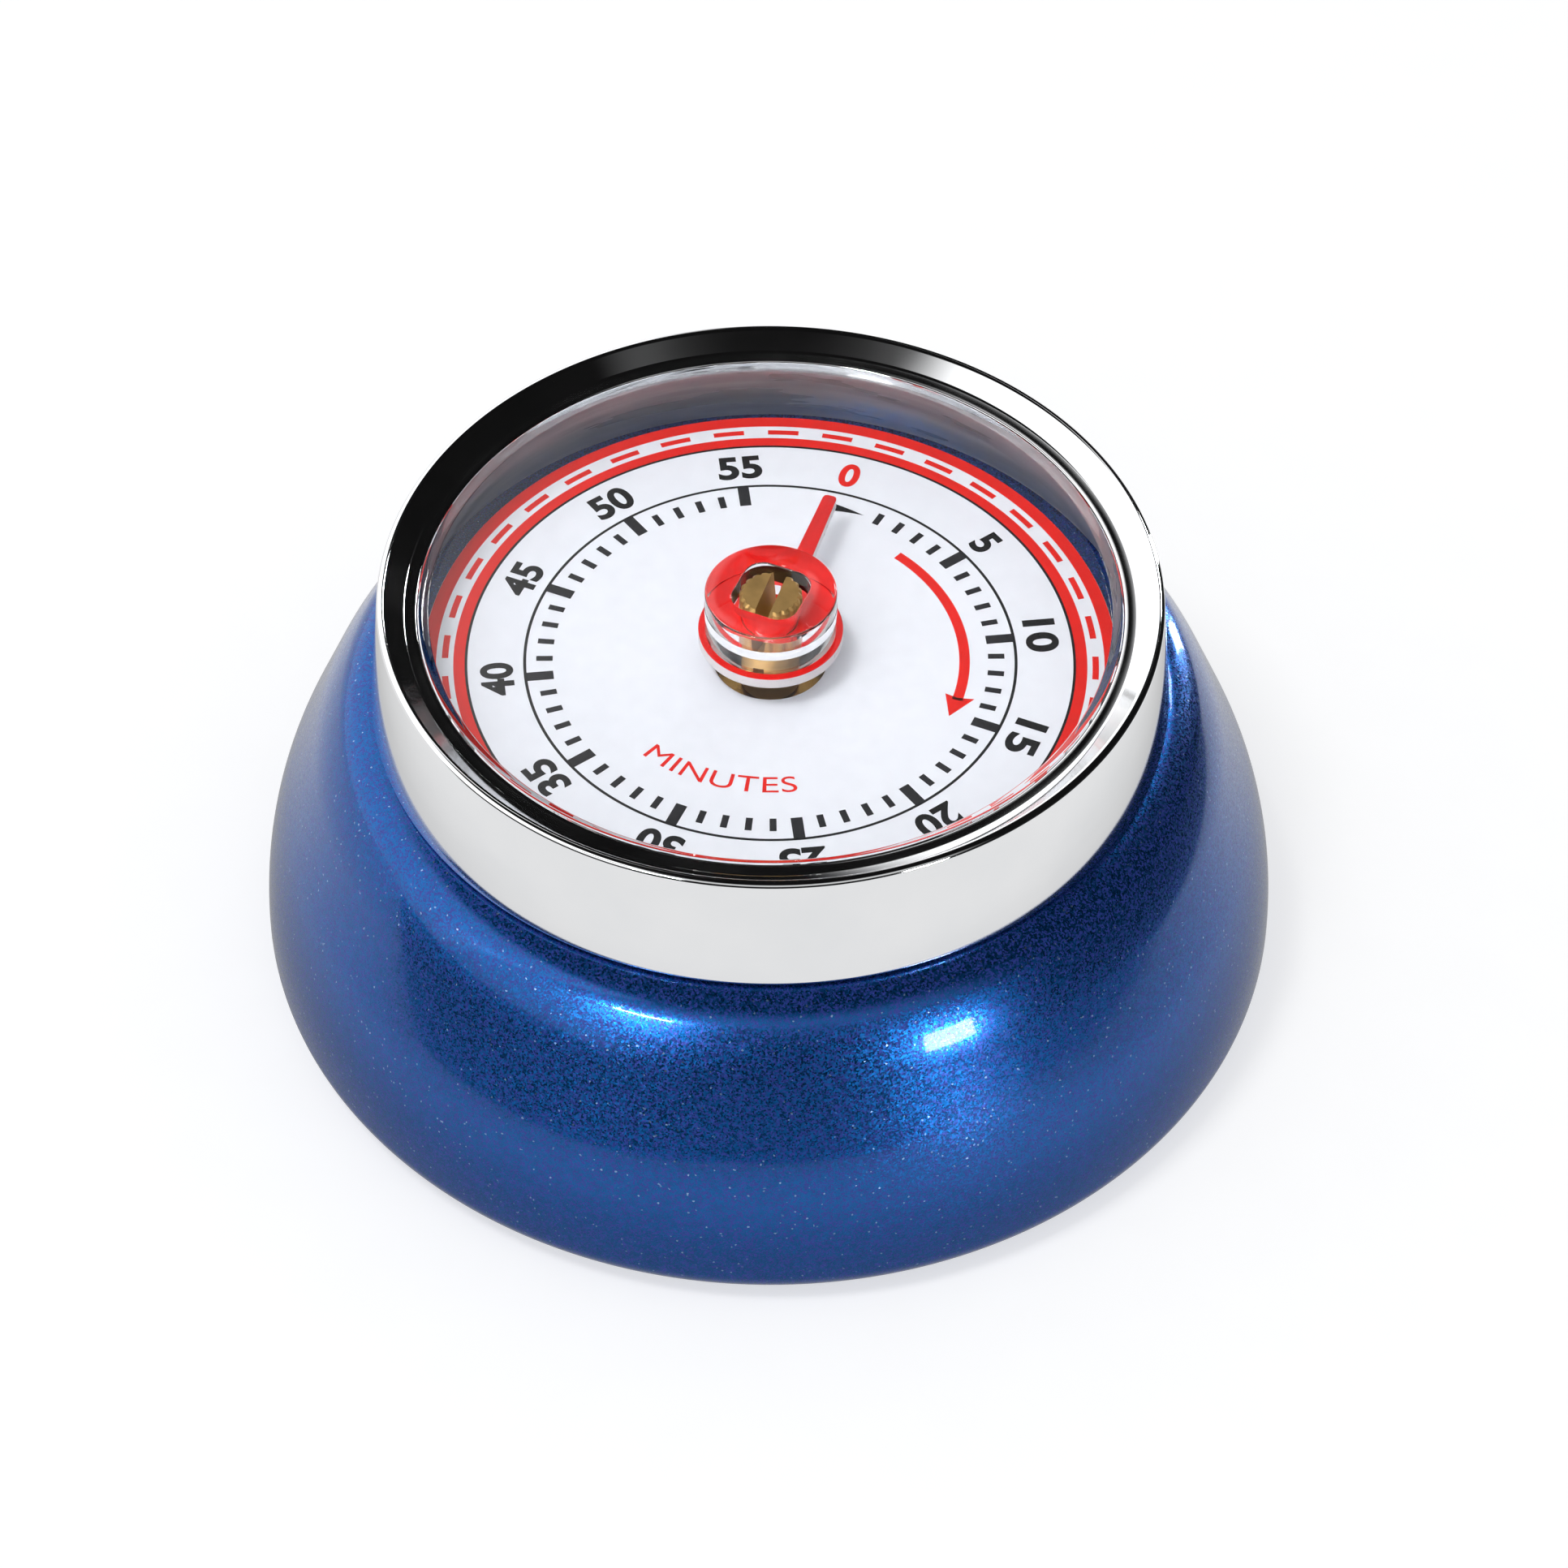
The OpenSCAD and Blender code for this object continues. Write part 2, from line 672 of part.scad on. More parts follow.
// A staff between the plates with a pivot at each end
module staff() {
    translate([0, 0, rear_top + end_shake]) cylinder(d = staff_d, h = plates_gap - 2 * end_shake);
    translate([0, 0, rear_z + seat_clear])
        cylinder(d = pivot_d, h = 2 * plate_t + plates_gap - 2 * seat_clear);
}

// A staff with its pinion's leaves between z and z + t
module pinion_staff(m, turn, z, t) {
    staff();
    translate([0, 0, z - pinion_over]) rotate(turn)
        gear(pinion_leaves, m, pinion_leaf, t + 2 * pinion_over);
}

module train_wheel(m, turn, z) {
    translate([0, 0, z]) rotate(turn) difference() {
        gear(wheel_teeth, m, wheel_tooth, wheel_t);
        translate([0, 0, -1]) cylinder(d = staff_d, h = wheel_t + 2);
    }
}

module second_pinion() {
    color("silver") at(second_c, 0) pinion_staff(great_module, second_turn, great_z, great_t);
}

module second_wheel() {
    color("gold") at(second_c, 0) train_wheel(second_module, second_turn, second_wheel_z);
}

module third_pinion() {
    color("silver") at(third_c, 0) pinion_staff(second_module, third_turn, second_wheel_z, wheel_t);
}

module third_wheel() {
    color("gold") at(third_c, 0) train_wheel(third_module, third_turn, third_wheel_z);
}

module escape_pinion() {
    color("silver") at(escape_c, 0) pinion_staff(third_module, escape_turn, third_wheel_z, wheel_t);
}

module escape_wheel() {
    step = 360 / escape_teeth;
    color("gold") at(escape_c, escape_z) difference() {
        linear_extrude(wheel_t) polygon([
            for (i = [0 : escape_teeth - 1])
                for (p = [[0.7, 0], [0.74, 0.35], [1, 0.62], [1, 0.7], [0.72, 0.72]])
                    polar(p[0] * escape_d / 2, (i + p[1]) * step)
        ]);
        translate([0, 0, -1]) cylinder(d = staff_d, h = wheel_t + 2);
    }
}

module balance_staff() {
    color("silver") at(anchor_c, 0) staff();
}

// The anchor's two pins straddle the escape wheel just outside its tips
pin_r = escape_d / 2 + pin_gap + pin_d / 2;
pin_spread = 34;       // from the line of centres to each pin, in degrees
function pin_c(side) = escape_c + polar(pin_r, bearing(escape_c, anchor_c) + side * pin_spread);

module pallet_anchor() {
    anchor_t = 0.6;
    anchor_z = escape_z + wheel_t + 0.4;
    color("silver") difference() {
        union() {
            for (side = [-1, 1]) {
                translate([0, 0, anchor_z]) bar(anchor_c, pin_c(side), 0.9, anchor_t);
                at(pin_c(side), escape_z - 0.2) cylinder(d = pin_d, h = anchor_z - escape_z + 0.2);
            }
            at(anchor_c, anchor_z) cylinder(d = staff_d + 1, h = anchor_t);
        }
        at(anchor_c, anchor_z - 1) cylinder(d = staff_d, h = anchor_t + 2);
    }
}

module balance_bar() {
    far = balance_l / 2 - balance_w / 2;
    color("gold") difference() {
        union() {
            translate([0, 0, balance_z])
                bar(anchor_c - polar(far, anchor_dir), anchor_c + polar(far, anchor_dir), balance_w, balance_t);
            at(anchor_c, balance_z) cylinder(d = staff_d + 1.4, h = balance_t);
            for (side = [-1, 1])
                at(anchor_c + side * polar(far, anchor_dir), balance_z - 0.3)
                    cylinder(d = balance_w, h = balance_t + 0.6);
        }
        at(anchor_c, balance_z - 1) cylinder(d = staff_d, h = balance_t + 2);
    }
}

module hammer_arbor() {
    color("silver") at(hammer_c, 0) staff();
}

module hammer_arm() {
    nose_c = polar(cam_d / 2 + nose_gap + hammer_arm_w / 2, hammer_dir);
    color("silver") difference() {
        union() {
            translate([0, 0, hammer_z]) bar(hammer_c, hammer_head_c, hammer_arm_w, hammer_arm_t);
            translate([0, 0, cam_z]) bar(hammer_c, nose_c, hammer_arm_w, cam_t);
            at(hammer_c, hammer_z) cylinder(d = hammer_tube_d, h = cam_z + cam_t - hammer_z);
        }
        at(hammer_c, hammer_z - 1) cylinder(d = staff_d, h = cam_z - hammer_z + cam_t + 2);
        at(hammer_head_c, hammer_z - 1) cylinder(d = hammer_pin_d, h = hammer_arm_t + 2);
    }
}

module hammer_head() {
    color("darkgoldenrod") at(hammer_head_c, 0) {
        translate([0, 0, hammer_z + hammer_arm_t]) cylinder(d = hammer_d, h = hammer_h);
        translate([0, 0, hammer_z]) cylinder(d = hammer_pin_d, h = hammer_arm_t + hammer_h / 2);
    }
}

// Close coils around the hammer's arbor, with a leg that bears on a pillar
module hammer_spring() {
    wire = 0.4;
    coil_r = hammer_tube_d / 2 + part_clear + wire / 2;
    coils = 5;
    spring_base = spring_z + spring_h + part_clear + wire / 2;
    leg_c = polar(pillar_at - pillar_d / 2 - wire / 2, pillar_dirs[1]);
    color("slategray") {
        for (i = [0 : coils - 1])
            at(hammer_c, spring_base + i * wire * 0.9)
                rotate_extrude() translate([coil_r, 0]) circle(d = wire);
        translate([0, 0, spring_base - wire / 2])
            bar(hammer_c + polar(coil_r, bearing(hammer_c, leg_c)), leg_c, wire, wire);
    }
}

module cup_2d(r, h, round) {
    square([r - round, h]);
    translate([0, round]) square([r, h - round]);
    translate([r - round, round]) circle(r = round);
}

module bell() {
    color("silver") translate([0, 0, bell_z]) difference() {
        rotate_extrude() difference() {
            cup_2d(bell_d / 2, bell_h, bell_round);
            translate([0, bell_t]) cup_2d(bell_in_r, bell_h, bell_round - bell_t);
        }
        translate([0, 0, -1]) cylinder(d = bell_screw_d, h = bell_t + 2);
    }
}

module bell_post() {
    color("goldenrod") difference() {
        translate([0, 0, bell_z + bell_t]) cylinder(d = bell_post_d, h = rear_z - bell_z - bell_t);
        translate([0, 0, bell_z]) cylinder(d = bell_screw_d, h = rear_z - bell_z - 0.6);
    }
}

module bell_screw() {
    color("silver") translate([0, 0, bell_z])
        cross_screw(bell_screw_d, rear_z - bell_z - 1, bell_post_d, bell_screw_head);
}

body_shell();
dial_plate();
rear_cover();
magnet();
case_screws();
movement_screws();
front_plate();
rear_plate();
plate_pillars();
pillar_nuts();
bezel_ring();
lens();
pointer();
main_arbor();
mainspring();
great_wheel();
ratchet_wheel();
click_pawl();
click_spring();
strike_cam();
second_pinion();
second_wheel();
third_pinion();
third_wheel();
escape_pinion();
escape_wheel();
balance_staff();
pallet_anchor();
balance_bar();
hammer_arbor();
hammer_arm();
hammer_head();
hammer_spring();
bell();
bell_post();
bell_screw();
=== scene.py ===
import json
import math

import bmesh
import bpy
from mathutils import Matrix, Vector


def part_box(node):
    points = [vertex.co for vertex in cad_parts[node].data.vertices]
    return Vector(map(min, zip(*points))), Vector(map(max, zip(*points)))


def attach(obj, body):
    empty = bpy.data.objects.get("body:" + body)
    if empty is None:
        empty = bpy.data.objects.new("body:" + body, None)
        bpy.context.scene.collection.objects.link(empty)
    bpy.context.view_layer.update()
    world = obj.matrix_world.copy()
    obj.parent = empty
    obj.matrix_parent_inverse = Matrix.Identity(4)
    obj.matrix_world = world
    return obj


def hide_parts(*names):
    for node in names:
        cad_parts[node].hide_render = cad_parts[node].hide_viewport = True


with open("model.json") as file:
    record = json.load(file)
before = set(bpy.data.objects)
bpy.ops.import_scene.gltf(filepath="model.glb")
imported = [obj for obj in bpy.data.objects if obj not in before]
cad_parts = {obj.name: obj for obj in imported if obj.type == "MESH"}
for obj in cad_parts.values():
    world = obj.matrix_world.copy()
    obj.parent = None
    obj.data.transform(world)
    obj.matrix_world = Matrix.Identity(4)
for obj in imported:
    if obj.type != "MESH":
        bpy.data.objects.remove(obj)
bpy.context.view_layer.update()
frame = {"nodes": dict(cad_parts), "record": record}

MM = 0.001
TAU = 2 * math.pi


# ---------------------------------------------------------------- measures
def low(node):
    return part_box(node)[0].z


def high(node):
    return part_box(node)[1].z


def radius(node):
    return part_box(node)[1].x


body_r = radius("body_shell")
shell_foot = low("body_shell")
seat_z = high("body_shell")
dial_r = radius("dial_plate")
dial_top = high("dial_plate")
ring_foot = low("bezel_ring")
rim_z = high("bezel_ring")
ring_r = radius("bezel_ring")
pointer_low = low("pointer")
pointer_top = high("pointer")
arbor_low = low("main_arbor")
arbor_top = high("main_arbor")
cover_r = radius("rear_cover")
magnet_r = radius("magnet")
magnet_top = high("magnet")
well_top = high("rear_cover")

# body: outline arcs from the foot up, angles in degrees of slope from upright
NECK_H = 1.6 * MM
BELLY_Z, BELLY_R = 2.8 * MM, 2.3 * MM
FLANK_R, FLANK_TO = 27 * MM, 22.5
HAUNCH_R, SHOULDER_FROM = 18 * MM, 35
DECK_FLAT_R = 26.3 * MM
WALL, DECK_WALL = 1.8 * MM, 2.1 * MM
SEAT_ROUND = 0.3 * MM
deck_z = seat_z - NECK_H
neck_r = dial_r + 0.3 * MM

# ring: tapered wall, rounded rim, bevel that falls to a thin lip over the lens
LIP_T, LIP_REACH, BEVEL_DROP = 0.25 * MM, 0.65 * MM, 1.1 * MM
RING_FLARE, LEDGE_T = 1.5 * MM, 0.5 * MM
TAPER, RIM_R, BEVEL = 0.75 * MM, 0.35 * MM, math.radians(39)
FOOT_ROUND = 0.25 * MM
ring_in = neck_r + 0.45 * MM
lip_z = rim_z - BEVEL_DROP
lip_r = ring_in - LIP_REACH

# lens, hub and the arbor's head
LENS_T = 1.4 * MM
FILLET, FILLET_H = 0.75 * MM, 0.24 * MM
HUB_R, HUB_FLOOR, HUB_ROUND = 4.4 * MM, 1.2 * MM, 0.18 * MM
SOCKET_W, SOCKET_R, SOCKET_H = 4.6 * MM, 1.3 * MM, 1.5 * MM
SOCKET_ROUND = 0.12 * MM
ARBOR_R, HEAD_R = 1.95 * MM, 2.1 * MM
BORE_R = ARBOR_R + 0.03 * MM
lens_top = lip_z - LIP_T
lens_z = lens_top - LENS_T

# pointer and the hole in the dial
DISC_R = 4.85 * MM
NEEDLE_REACH = 13.3 * MM
POINTER_REST = 5.3
DIAL_HOLE = 3.85 * MM

# rear cover and its screws
COVER_T = 2.0 * MM
SCREW_CIRCLE, SCREW_HEAD_R, SCREW_HOLE_R = 26.6 * MM, 2.2 * MM, 1.05 * MM
AXIS_R = 0.02 * MM  # a lathe's outline stops this short of the axis


# ---------------------------------------------------------------- mesh tools
def new_object(name, bm, material, sharp=30):
    mesh = bpy.data.meshes.new(name)
    bmesh.ops.recalc_face_normals(bm, faces=bm.faces)
    bm.to_mesh(mesh)
    bm.free()
    mesh.shade_smooth()
    mesh.set_sharp_from_angle(angle=math.radians(sharp))
    obj = bpy.data.objects.new(name, mesh)
    bpy.context.scene.collection.objects.link(obj)
    for m in material if isinstance(material, (list, tuple)) else [material]:
        mesh.materials.append(m)
    return obj


def arc(c, r, a0, a1, n):
    return [(c[0] + r * math.cos(math.radians(a0 + (a1 - a0) * i / n)),
             c[1] + r * math.sin(math.radians(a0 + (a1 - a0) * i / n))) for i in range(n + 1)]


def soften(points, r, steps=3):
    """Rounds every corner of a closed outline, by at most r along its edges."""
    out = []
    n = len(points)
    for i in range(n):
        p = Vector(points[i])
        a, b = Vector(points[i - 1]) - p, Vector(points[(i + 1) % n]) - p
        if a.length < 1e-9 or b.length < 1e-9 or a.angle(b) > math.radians(165):
            out.append(tuple(p))
            continue
        d = min(r, a.length * 0.45, b.length * 0.45)
        pa, pb = p + a.normalized() * d, p + b.normalized() * d
        for k in range(steps + 1):
            t = k / steps
            q = pa * (1 - t) ** 2 + p * 2 * t * (1 - t) + pb * t * t
            out.append(tuple(q))
    return out


def supported(points, hold=0.04 * MM, least=0.6 * MM):
    """Adds a point just inside both ends of every long straight stretch, so that flats shade flat."""
    out = []
    for i, p in enumerate(points):
        q = points[(i + 1) % len(points)]
        out.append(p)
        if callable(p[0]) or callable(q[0]):
            continue
        a, b = Vector(p), Vector(q)
        if (b - a).length > least:
            step = (b - a).normalized() * hold
            out += [tuple(a + step), tuple(b - step)]
    return out


def lathe_into(bm, outline, n=256, index=0):
    """A closed outline of (radius, z) turned about Z. A radius may be a function of the angle."""
    rings = []
    for r, z in supported(outline):
        ring = []
        for i in range(n):
            a = TAU * i / n
            rr = r(a) if callable(r) else r
            ring.append(bm.verts.new((rr * math.cos(a), rr * math.sin(a), z)))
        rings.append(ring)
    for j in range(len(rings)):
        p, q = rings[j], rings[(j + 1) % len(rings)]
        for i in range(n):
            f = bm.faces.new((p[i], p[(i + 1) % n], q[(i + 1) % n], q[i]))
            f.material_index = index


def lathe(name, outline, material, n=256, sharp=30):
    bm = bmesh.new()
    lathe_into(bm, outline, n)
    return new_object(name, bm, material, sharp)


def cut(obj, cutters):
    for i, c in enumerate(cutters):
        mod = obj.modifiers.new("cut%d" % i, "BOOLEAN")
        mod.operation = "DIFFERENCE"
        mod.solver = "EXACT"
        mod.object = c
    deps = bpy.context.evaluated_depsgraph_get()
    mesh = bpy.data.meshes.new_from_object(obj.evaluated_get(deps))
    obj.modifiers.clear()
    obj.data = mesh
    mesh.set_sharp_from_angle(angle=math.radians(30))
    for c in cutters:
        bpy.data.objects.remove(c)


# ---------------------------------------------------------------- materials
ACRYLIC_IOR, CLEAR_COAT_IOR = 1.49, 1.23
FLAKES_PER_M = 9000


def material(name):
    m = bpy.data.materials.new(name)
    m.use_nodes = True
    t = m.node_tree
    return m, t, t.nodes["Principled BSDF"]


def node(tree, kind, **values):
    n = tree.nodes.new(kind)
    for k, v in values.items():
        if k.startswith("in_"):
            n.inputs[k[3:].replace("_", " ")].default_value = v
        else:
            setattr(n, k, v)
    return n


def place(tree, scale):
    tc = node(tree, "ShaderNodeTexCoord")
    mp = node(tree, "ShaderNodeMapping")
    mp.inputs["Scale"].default_value = scale if isinstance(scale, (tuple, list)) else (scale,) * 3
    tree.links.new(tc.outputs["Object"], mp.inputs["Vector"])
    return mp.outputs["Vector"]


def ramp(tree, fac, stops, interpolation="LINEAR"):
    r = node(tree, "ShaderNodeValToRGB")
    r.color_ramp.interpolation = interpolation
    e = r.color_ramp.elements
    while len(e) > 1:
        e.remove(e[-1])
    e[0].position, e[0].color = stops[0][0], (*stops[0][1], 1)
    for pos, col in stops[1:]:
        k = e.new(pos)
        k.color = (*col, 1)
    tree.links.new(fac, r.inputs["Fac"])
    return r.outputs["Color"]


def grey(v):
    return (v, v, v)


def bump(tree, bsdf, height, strength, distance, socket="Normal"):
    b = node(tree, "ShaderNodeBump", in_Strength=strength, in_Distance=distance)
    tree.links.new(height, b.inputs["Height"])
    tree.links.new(b.outputs["Normal"], bsdf.inputs[socket])
    return b


def srgb(r, g, b):
    return tuple((c / 12.92 if c <= 0.04045 else ((c + 0.055) / 1.055) ** 2.4)
                 for c in (r / 255, g / 255, b / 255))


def blue_lacquer():
    """Metal flakes, some lying flat and some tilted, in an indigo base under a clear coat."""
    m, t, b = material("blue_lacquer")
    cells = node(t, "ShaderNodeTexVoronoi", in_Scale=1.0)
    t.links.new(place(t, FLAKES_PER_M), cells.inputs["Vector"])
    parts = node(t, "ShaderNodeSeparateColor")
    t.links.new(cells.outputs["Color"], parts.inputs["Color"])
    flake = ramp(t, parts.outputs["Red"], [
        (0.0, srgb(54, 70, 158)), (0.20, srgb(54, 70, 158)), (0.52, srgb(20, 94, 166)),
        (0.994, srgb(20, 94, 166)), (0.997, srgb(150, 180, 225))])
    cloud = node(t, "ShaderNodeTexNoise", in_Scale=1.0, in_Detail=3.0)
    t.links.new(place(t, 1500), cloud.inputs["Vector"])
    mix = node(t, "ShaderNodeMix", data_type="RGBA", blend_type="MULTIPLY")
    mix.inputs["Factor"].default_value = 1.0
    t.links.new(flake, mix.inputs["A"])
    t.links.new(ramp(t, cloud.outputs["Fac"], [(0.35, grey(0.88)), (0.65, grey(1.0))]), mix.inputs["B"])
    t.links.new(mix.outputs["Result"], b.inputs["Base Color"])
    t.links.new(ramp(t, parts.outputs["Red"], [(0.20, grey(0.4)), (0.52, grey(0.93))]), b.inputs["Metallic"])
    spread = ramp(t, parts.outputs["Green"], [(0.2, grey(0.18)), (0.8, grey(0.38))])
    t.links.new(spread, b.inputs["Roughness"])
    centred = node(t, "ShaderNodeVectorMath", operation="SUBTRACT")
    t.links.new(cells.outputs["Color"], centred.inputs[0])
    centred.inputs[1].default_value = (0.5, 0.5, 0.5)
    tilt = node(t, "ShaderNodeVectorMath", operation="MULTIPLY")
    t.links.new(centred.outputs[0], tilt.inputs[0])
    t.links.new(ramp(t, parts.outputs["Green"], [(0.2, grey(0.03)), (0.8, grey(0.12))]), tilt.inputs[1])
    surface = node(t, "ShaderNodeNewGeometry")
    lean = node(t, "ShaderNodeVectorMath", operation="ADD")
    t.links.new(surface.outputs["Normal"], lean.inputs[0])
    t.links.new(tilt.outputs[0], lean.inputs[1])
    unit = node(t, "ShaderNodeVectorMath", operation="NORMALIZE")
    t.links.new(lean.outputs[0], unit.inputs[0])
    t.links.new(unit.outputs[0], b.inputs["Normal"])
    peel = node(t, "ShaderNodeTexNoise", in_Scale=1.0, in_Detail=2.0)
    t.links.new(place(t, 420), peel.inputs["Vector"])
    bump(t, b, peel.outputs["Fac"], 0.10, 0.00006, "Coat Normal")
    b.inputs["Specular IOR Level"].default_value = 0.1
    b.inputs["Coat Weight"].default_value = 1.0
    b.inputs["Coat IOR"].default_value = CLEAR_COAT_IOR
    b.inputs["Coat Roughness"].default_value = 0.05
    return m


def chrome():
    m, t, b = material("chrome")
    noise = node(t, "ShaderNodeTexNoise", in_Scale=1.0, in_Detail=3.0)
    t.links.new(place(t, 160), noise.inputs["Vector"])
    t.links.new(ramp(t, noise.outputs["Fac"], [(0.3, (0.86, 0.87, 0.885)), (0.7, (0.90, 0.905, 0.915))]),
                b.inputs["Base Color"])
    b.inputs["Metallic"].default_value = 1.0
    t.links.new(ramp(t, noise.outputs["Fac"], [(0.3, grey(0.035)), (0.7, grey(0.075))]),
                b.inputs["Roughness"])
    wave = node(t, "ShaderNodeTexNoise", in_Scale=1.0, in_Detail=1.0)
    t.links.new(place(t, (130, 130, 420)), wave.inputs["Vector"])
    bump(t, b, wave.outputs["Fac"], 0.06, 0.00012)
    return m


def clear_plastic():
    m, t, b = material("clear_plastic")
    noise = node(t, "ShaderNodeTexNoise", in_Scale=1.0, in_Detail=2.0)
    t.links.new(place(t, 60), noise.inputs["Vector"])
    b.inputs["Base Color"].default_value = (0.985, 0.99, 0.99, 1)
    b.inputs["IOR"].default_value = ACRYLIC_IOR
    b.inputs["Transmission Weight"].default_value = 1.0
    t.links.new(ramp(t, noise.outputs["Fac"], [(0.3, grey(0.0)), (0.8, grey(0.012))]), b.inputs["Roughness"])
    return m


def enamel(name, color, vary=0.02, rough=0.32, gloss=0.5):
    m, t, b = material(name)
    noise = node(t, "ShaderNodeTexNoise", in_Scale=1.0, in_Detail=4.0)
    t.links.new(place(t, 900), noise.inputs["Vector"])
    lo = tuple(max(0, c * (1 - vary)) for c in color)
    hi = tuple(min(1, c * (1 + vary)) for c in color)
    t.links.new(ramp(t, noise.outputs["Fac"], [(0.3, lo), (0.7, hi)]), b.inputs["Base Color"])
    t.links.new(ramp(t, noise.outputs["Fac"], [(0.3, grey(rough)), (0.7, grey(rough + 0.08))]),
                b.inputs["Roughness"])
    b.inputs["Specular IOR Level"].default_value = gloss
    bump(t, b, noise.outputs["Fac"], 0.05, 0.00002)
    return m


def metal(name, color, rough, stretch=(900, 900, 60), vary=0.1, metallic=1.0):
    m, t, b = material(name)
    noise = node(t, "ShaderNodeTexNoise", in_Scale=1.0, in_Detail=4.0)
    t.links.new(place(t, stretch), noise.inputs["Vector"])
    lo = tuple(c * (1 - vary) for c in color)
    hi = tuple(min(1, c * (1 + vary)) for c in color)
    t.links.new(ramp(t, noise.outputs["Fac"], [(0.3, lo), (0.7, hi)]), b.inputs["Base Color"])
    b.inputs["Metallic"].default_value = metallic
    t.links.new(ramp(t, noise.outputs["Fac"], [(0.3, grey(rough * 0.8)), (0.7, grey(rough * 1.25))]),
                b.inputs["Roughness"])
    bump(t, b, noise.outputs["Fac"], 0.15, 0.00003)
    return m


def plastic(name, color, rough, grain=1400, depth=0.00002):
    m, t, b = material(name)
    noise = node(t, "ShaderNodeTexNoise", in_Scale=1.0, in_Detail=3.0)
    t.links.new(place(t, grain), noise.inputs["Vector"])
    lo = tuple(c * 0.96 for c in color)
    hi = tuple(min(1, c * 1.03) for c in color)
    t.links.new(ramp(t, noise.outputs["Fac"], [(0.3, lo), (0.7, hi)]), b.inputs["Base Color"])
    t.links.new(ramp(t, noise.outputs["Fac"], [(0.3, grey(rough)), (0.7, grey(rough + 0.12))]),
                b.inputs["Roughness"])
    bump(t, b, noise.outputs["Fac"], 0.3, depth)
    return m


BLUE = blue_lacquer()
CHROME = chrome()
INSIDE = metal("ring_inside", srgb(158, 156, 158), 0.30, (60, 60, 500), 0.35, 0.35)
CLEAR = clear_plastic()
DIAL = enamel("dial_white", srgb(236, 239, 247))
BLACK_INK = enamel("black_ink", srgb(12, 12, 15), 0.15, 0.4, 0.06)
GREY_INK = enamel("grey_ink", srgb(32, 32, 36), 0.1, 0.4, 0.06)
RED_INK = enamel("red_ink", srgb(226, 26, 16), 0.04, 0.5, 0.06)
RED_FOIL = enamel("pointer_red", srgb(216, 24, 22), 0.05, 0.5, 0.1)
EDGE = plastic("pointer_edge", srgb(226, 220, 222), 0.25)
COVER = plastic("cover_grey", srgb(205, 207, 210), 0.42, 1800, 0.00003)
FERRITE = metal("ferrite", srgb(58, 58, 62), 0.6, (700, 700, 700), 0.2)
BRASS = metal("brass", srgb(196, 156, 84), 0.24)
ARBOR_BRASS = metal("arbor_brass", srgb(176, 140, 82), 0.42, (700, 700, 120), 0.18, 0.6)
STEEL = metal("steel", srgb(190, 192, 196), 0.22)
SPRING = metal("spring_steel", srgb(96, 104, 120), 0.28)


# ---------------------------------------------------------------- body
def body_outline():
    belly_c = (body_r - BELLY_R, BELLY_Z)
    flank_c = (body_r - FLANK_R, BELLY_Z)
    lo, hi = math.radians(FLANK_TO), math.radians(SHOULDER_FROM)
    flank_end = (flank_c[0] + FLANK_R * math.cos(lo), flank_c[1] + FLANK_R * math.sin(lo))
    # the straight stretch and the shoulder arc that join the flank and the haunch to the deck
    sl, cl, sh, ch = math.sin(lo), math.cos(lo), math.sin(hi), math.cos(hi)
    run = DECK_FLAT_R - flank_end[0] - HAUNCH_R * (ch - cl)
    rise = deck_z - flank_end[1] - HAUNCH_R * (sh - sl)
    det = ch * cl - sl * (1 - sh)
    flat, shoulder_r = (run * (1 - sh) + rise * ch) / det, (-sl * rise - cl * run) / det
    haunch_start = (flank_end[0] - sl * flat, flank_end[1] + cl * flat)
    haunch_c = (haunch_start[0] - HAUNCH_R * cl, haunch_start[1] - HAUNCH_R * sl)
    shoulder_c = (DECK_FLAT_R, deck_z - shoulder_r)
    foot = math.degrees(math.asin((shell_foot - BELLY_Z) / BELLY_R))
    out = arc(belly_c, BELLY_R, foot, 0, 14)[:-1]
    out += arc(flank_c, FLANK_R, 0, FLANK_TO, 24)
    out += [tuple(Vector(flank_end).lerp(Vector(haunch_start), k / 6)) for k in range(1, 6)]
    out += arc(haunch_c, HAUNCH_R, FLANK_TO, SHOULDER_FROM, 16)[:-1]
    out += arc(shoulder_c, shoulder_r, SHOULDER_FROM, 90, 26)
    out += [(neck_r + 0.5 * MM, deck_z), (neck_r + 0.2 * MM, deck_z + 0.05 * MM),
            (neck_r + 0.05 * MM, deck_z + 0.2 * MM), (neck_r, deck_z + 0.5 * MM)]
    out += arc((neck_r - SEAT_ROUND, seat_z - SEAT_ROUND), SEAT_ROUND, 0, 90, 6)
    roof = seat_z - WALL
    out += [(DIAL_HOLE, seat_z), (DIAL_HOLE, roof), (neck_r - WALL, roof),
            (neck_r - WALL, deck_z - DECK_WALL)]
    inner = arc(shoulder_c, shoulder_r - WALL, 78, SHOULDER_FROM, 12)
    inner += arc(haunch_c, HAUNCH_R - WALL, SHOULDER_FROM, FLANK_TO, 12)
    inner += arc(flank_c, FLANK_R - WALL, FLANK_TO, 0, 24)
    top = [p for p in inner if p[1] < deck_z - DECK_WALL]
    out += [(top[0][0] - 0.3 * MM, deck_z - DECK_WALL)] + top
    out += [(cover_r + 0.1 * MM, BELLY_Z - 0.2 * MM), (cover_r + 0.1 * MM, shell_foot)]
    return out


body = lathe("body", body_outline(), BLUE, n=320, sharp=40)
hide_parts("body_shell")
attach(body, "case")


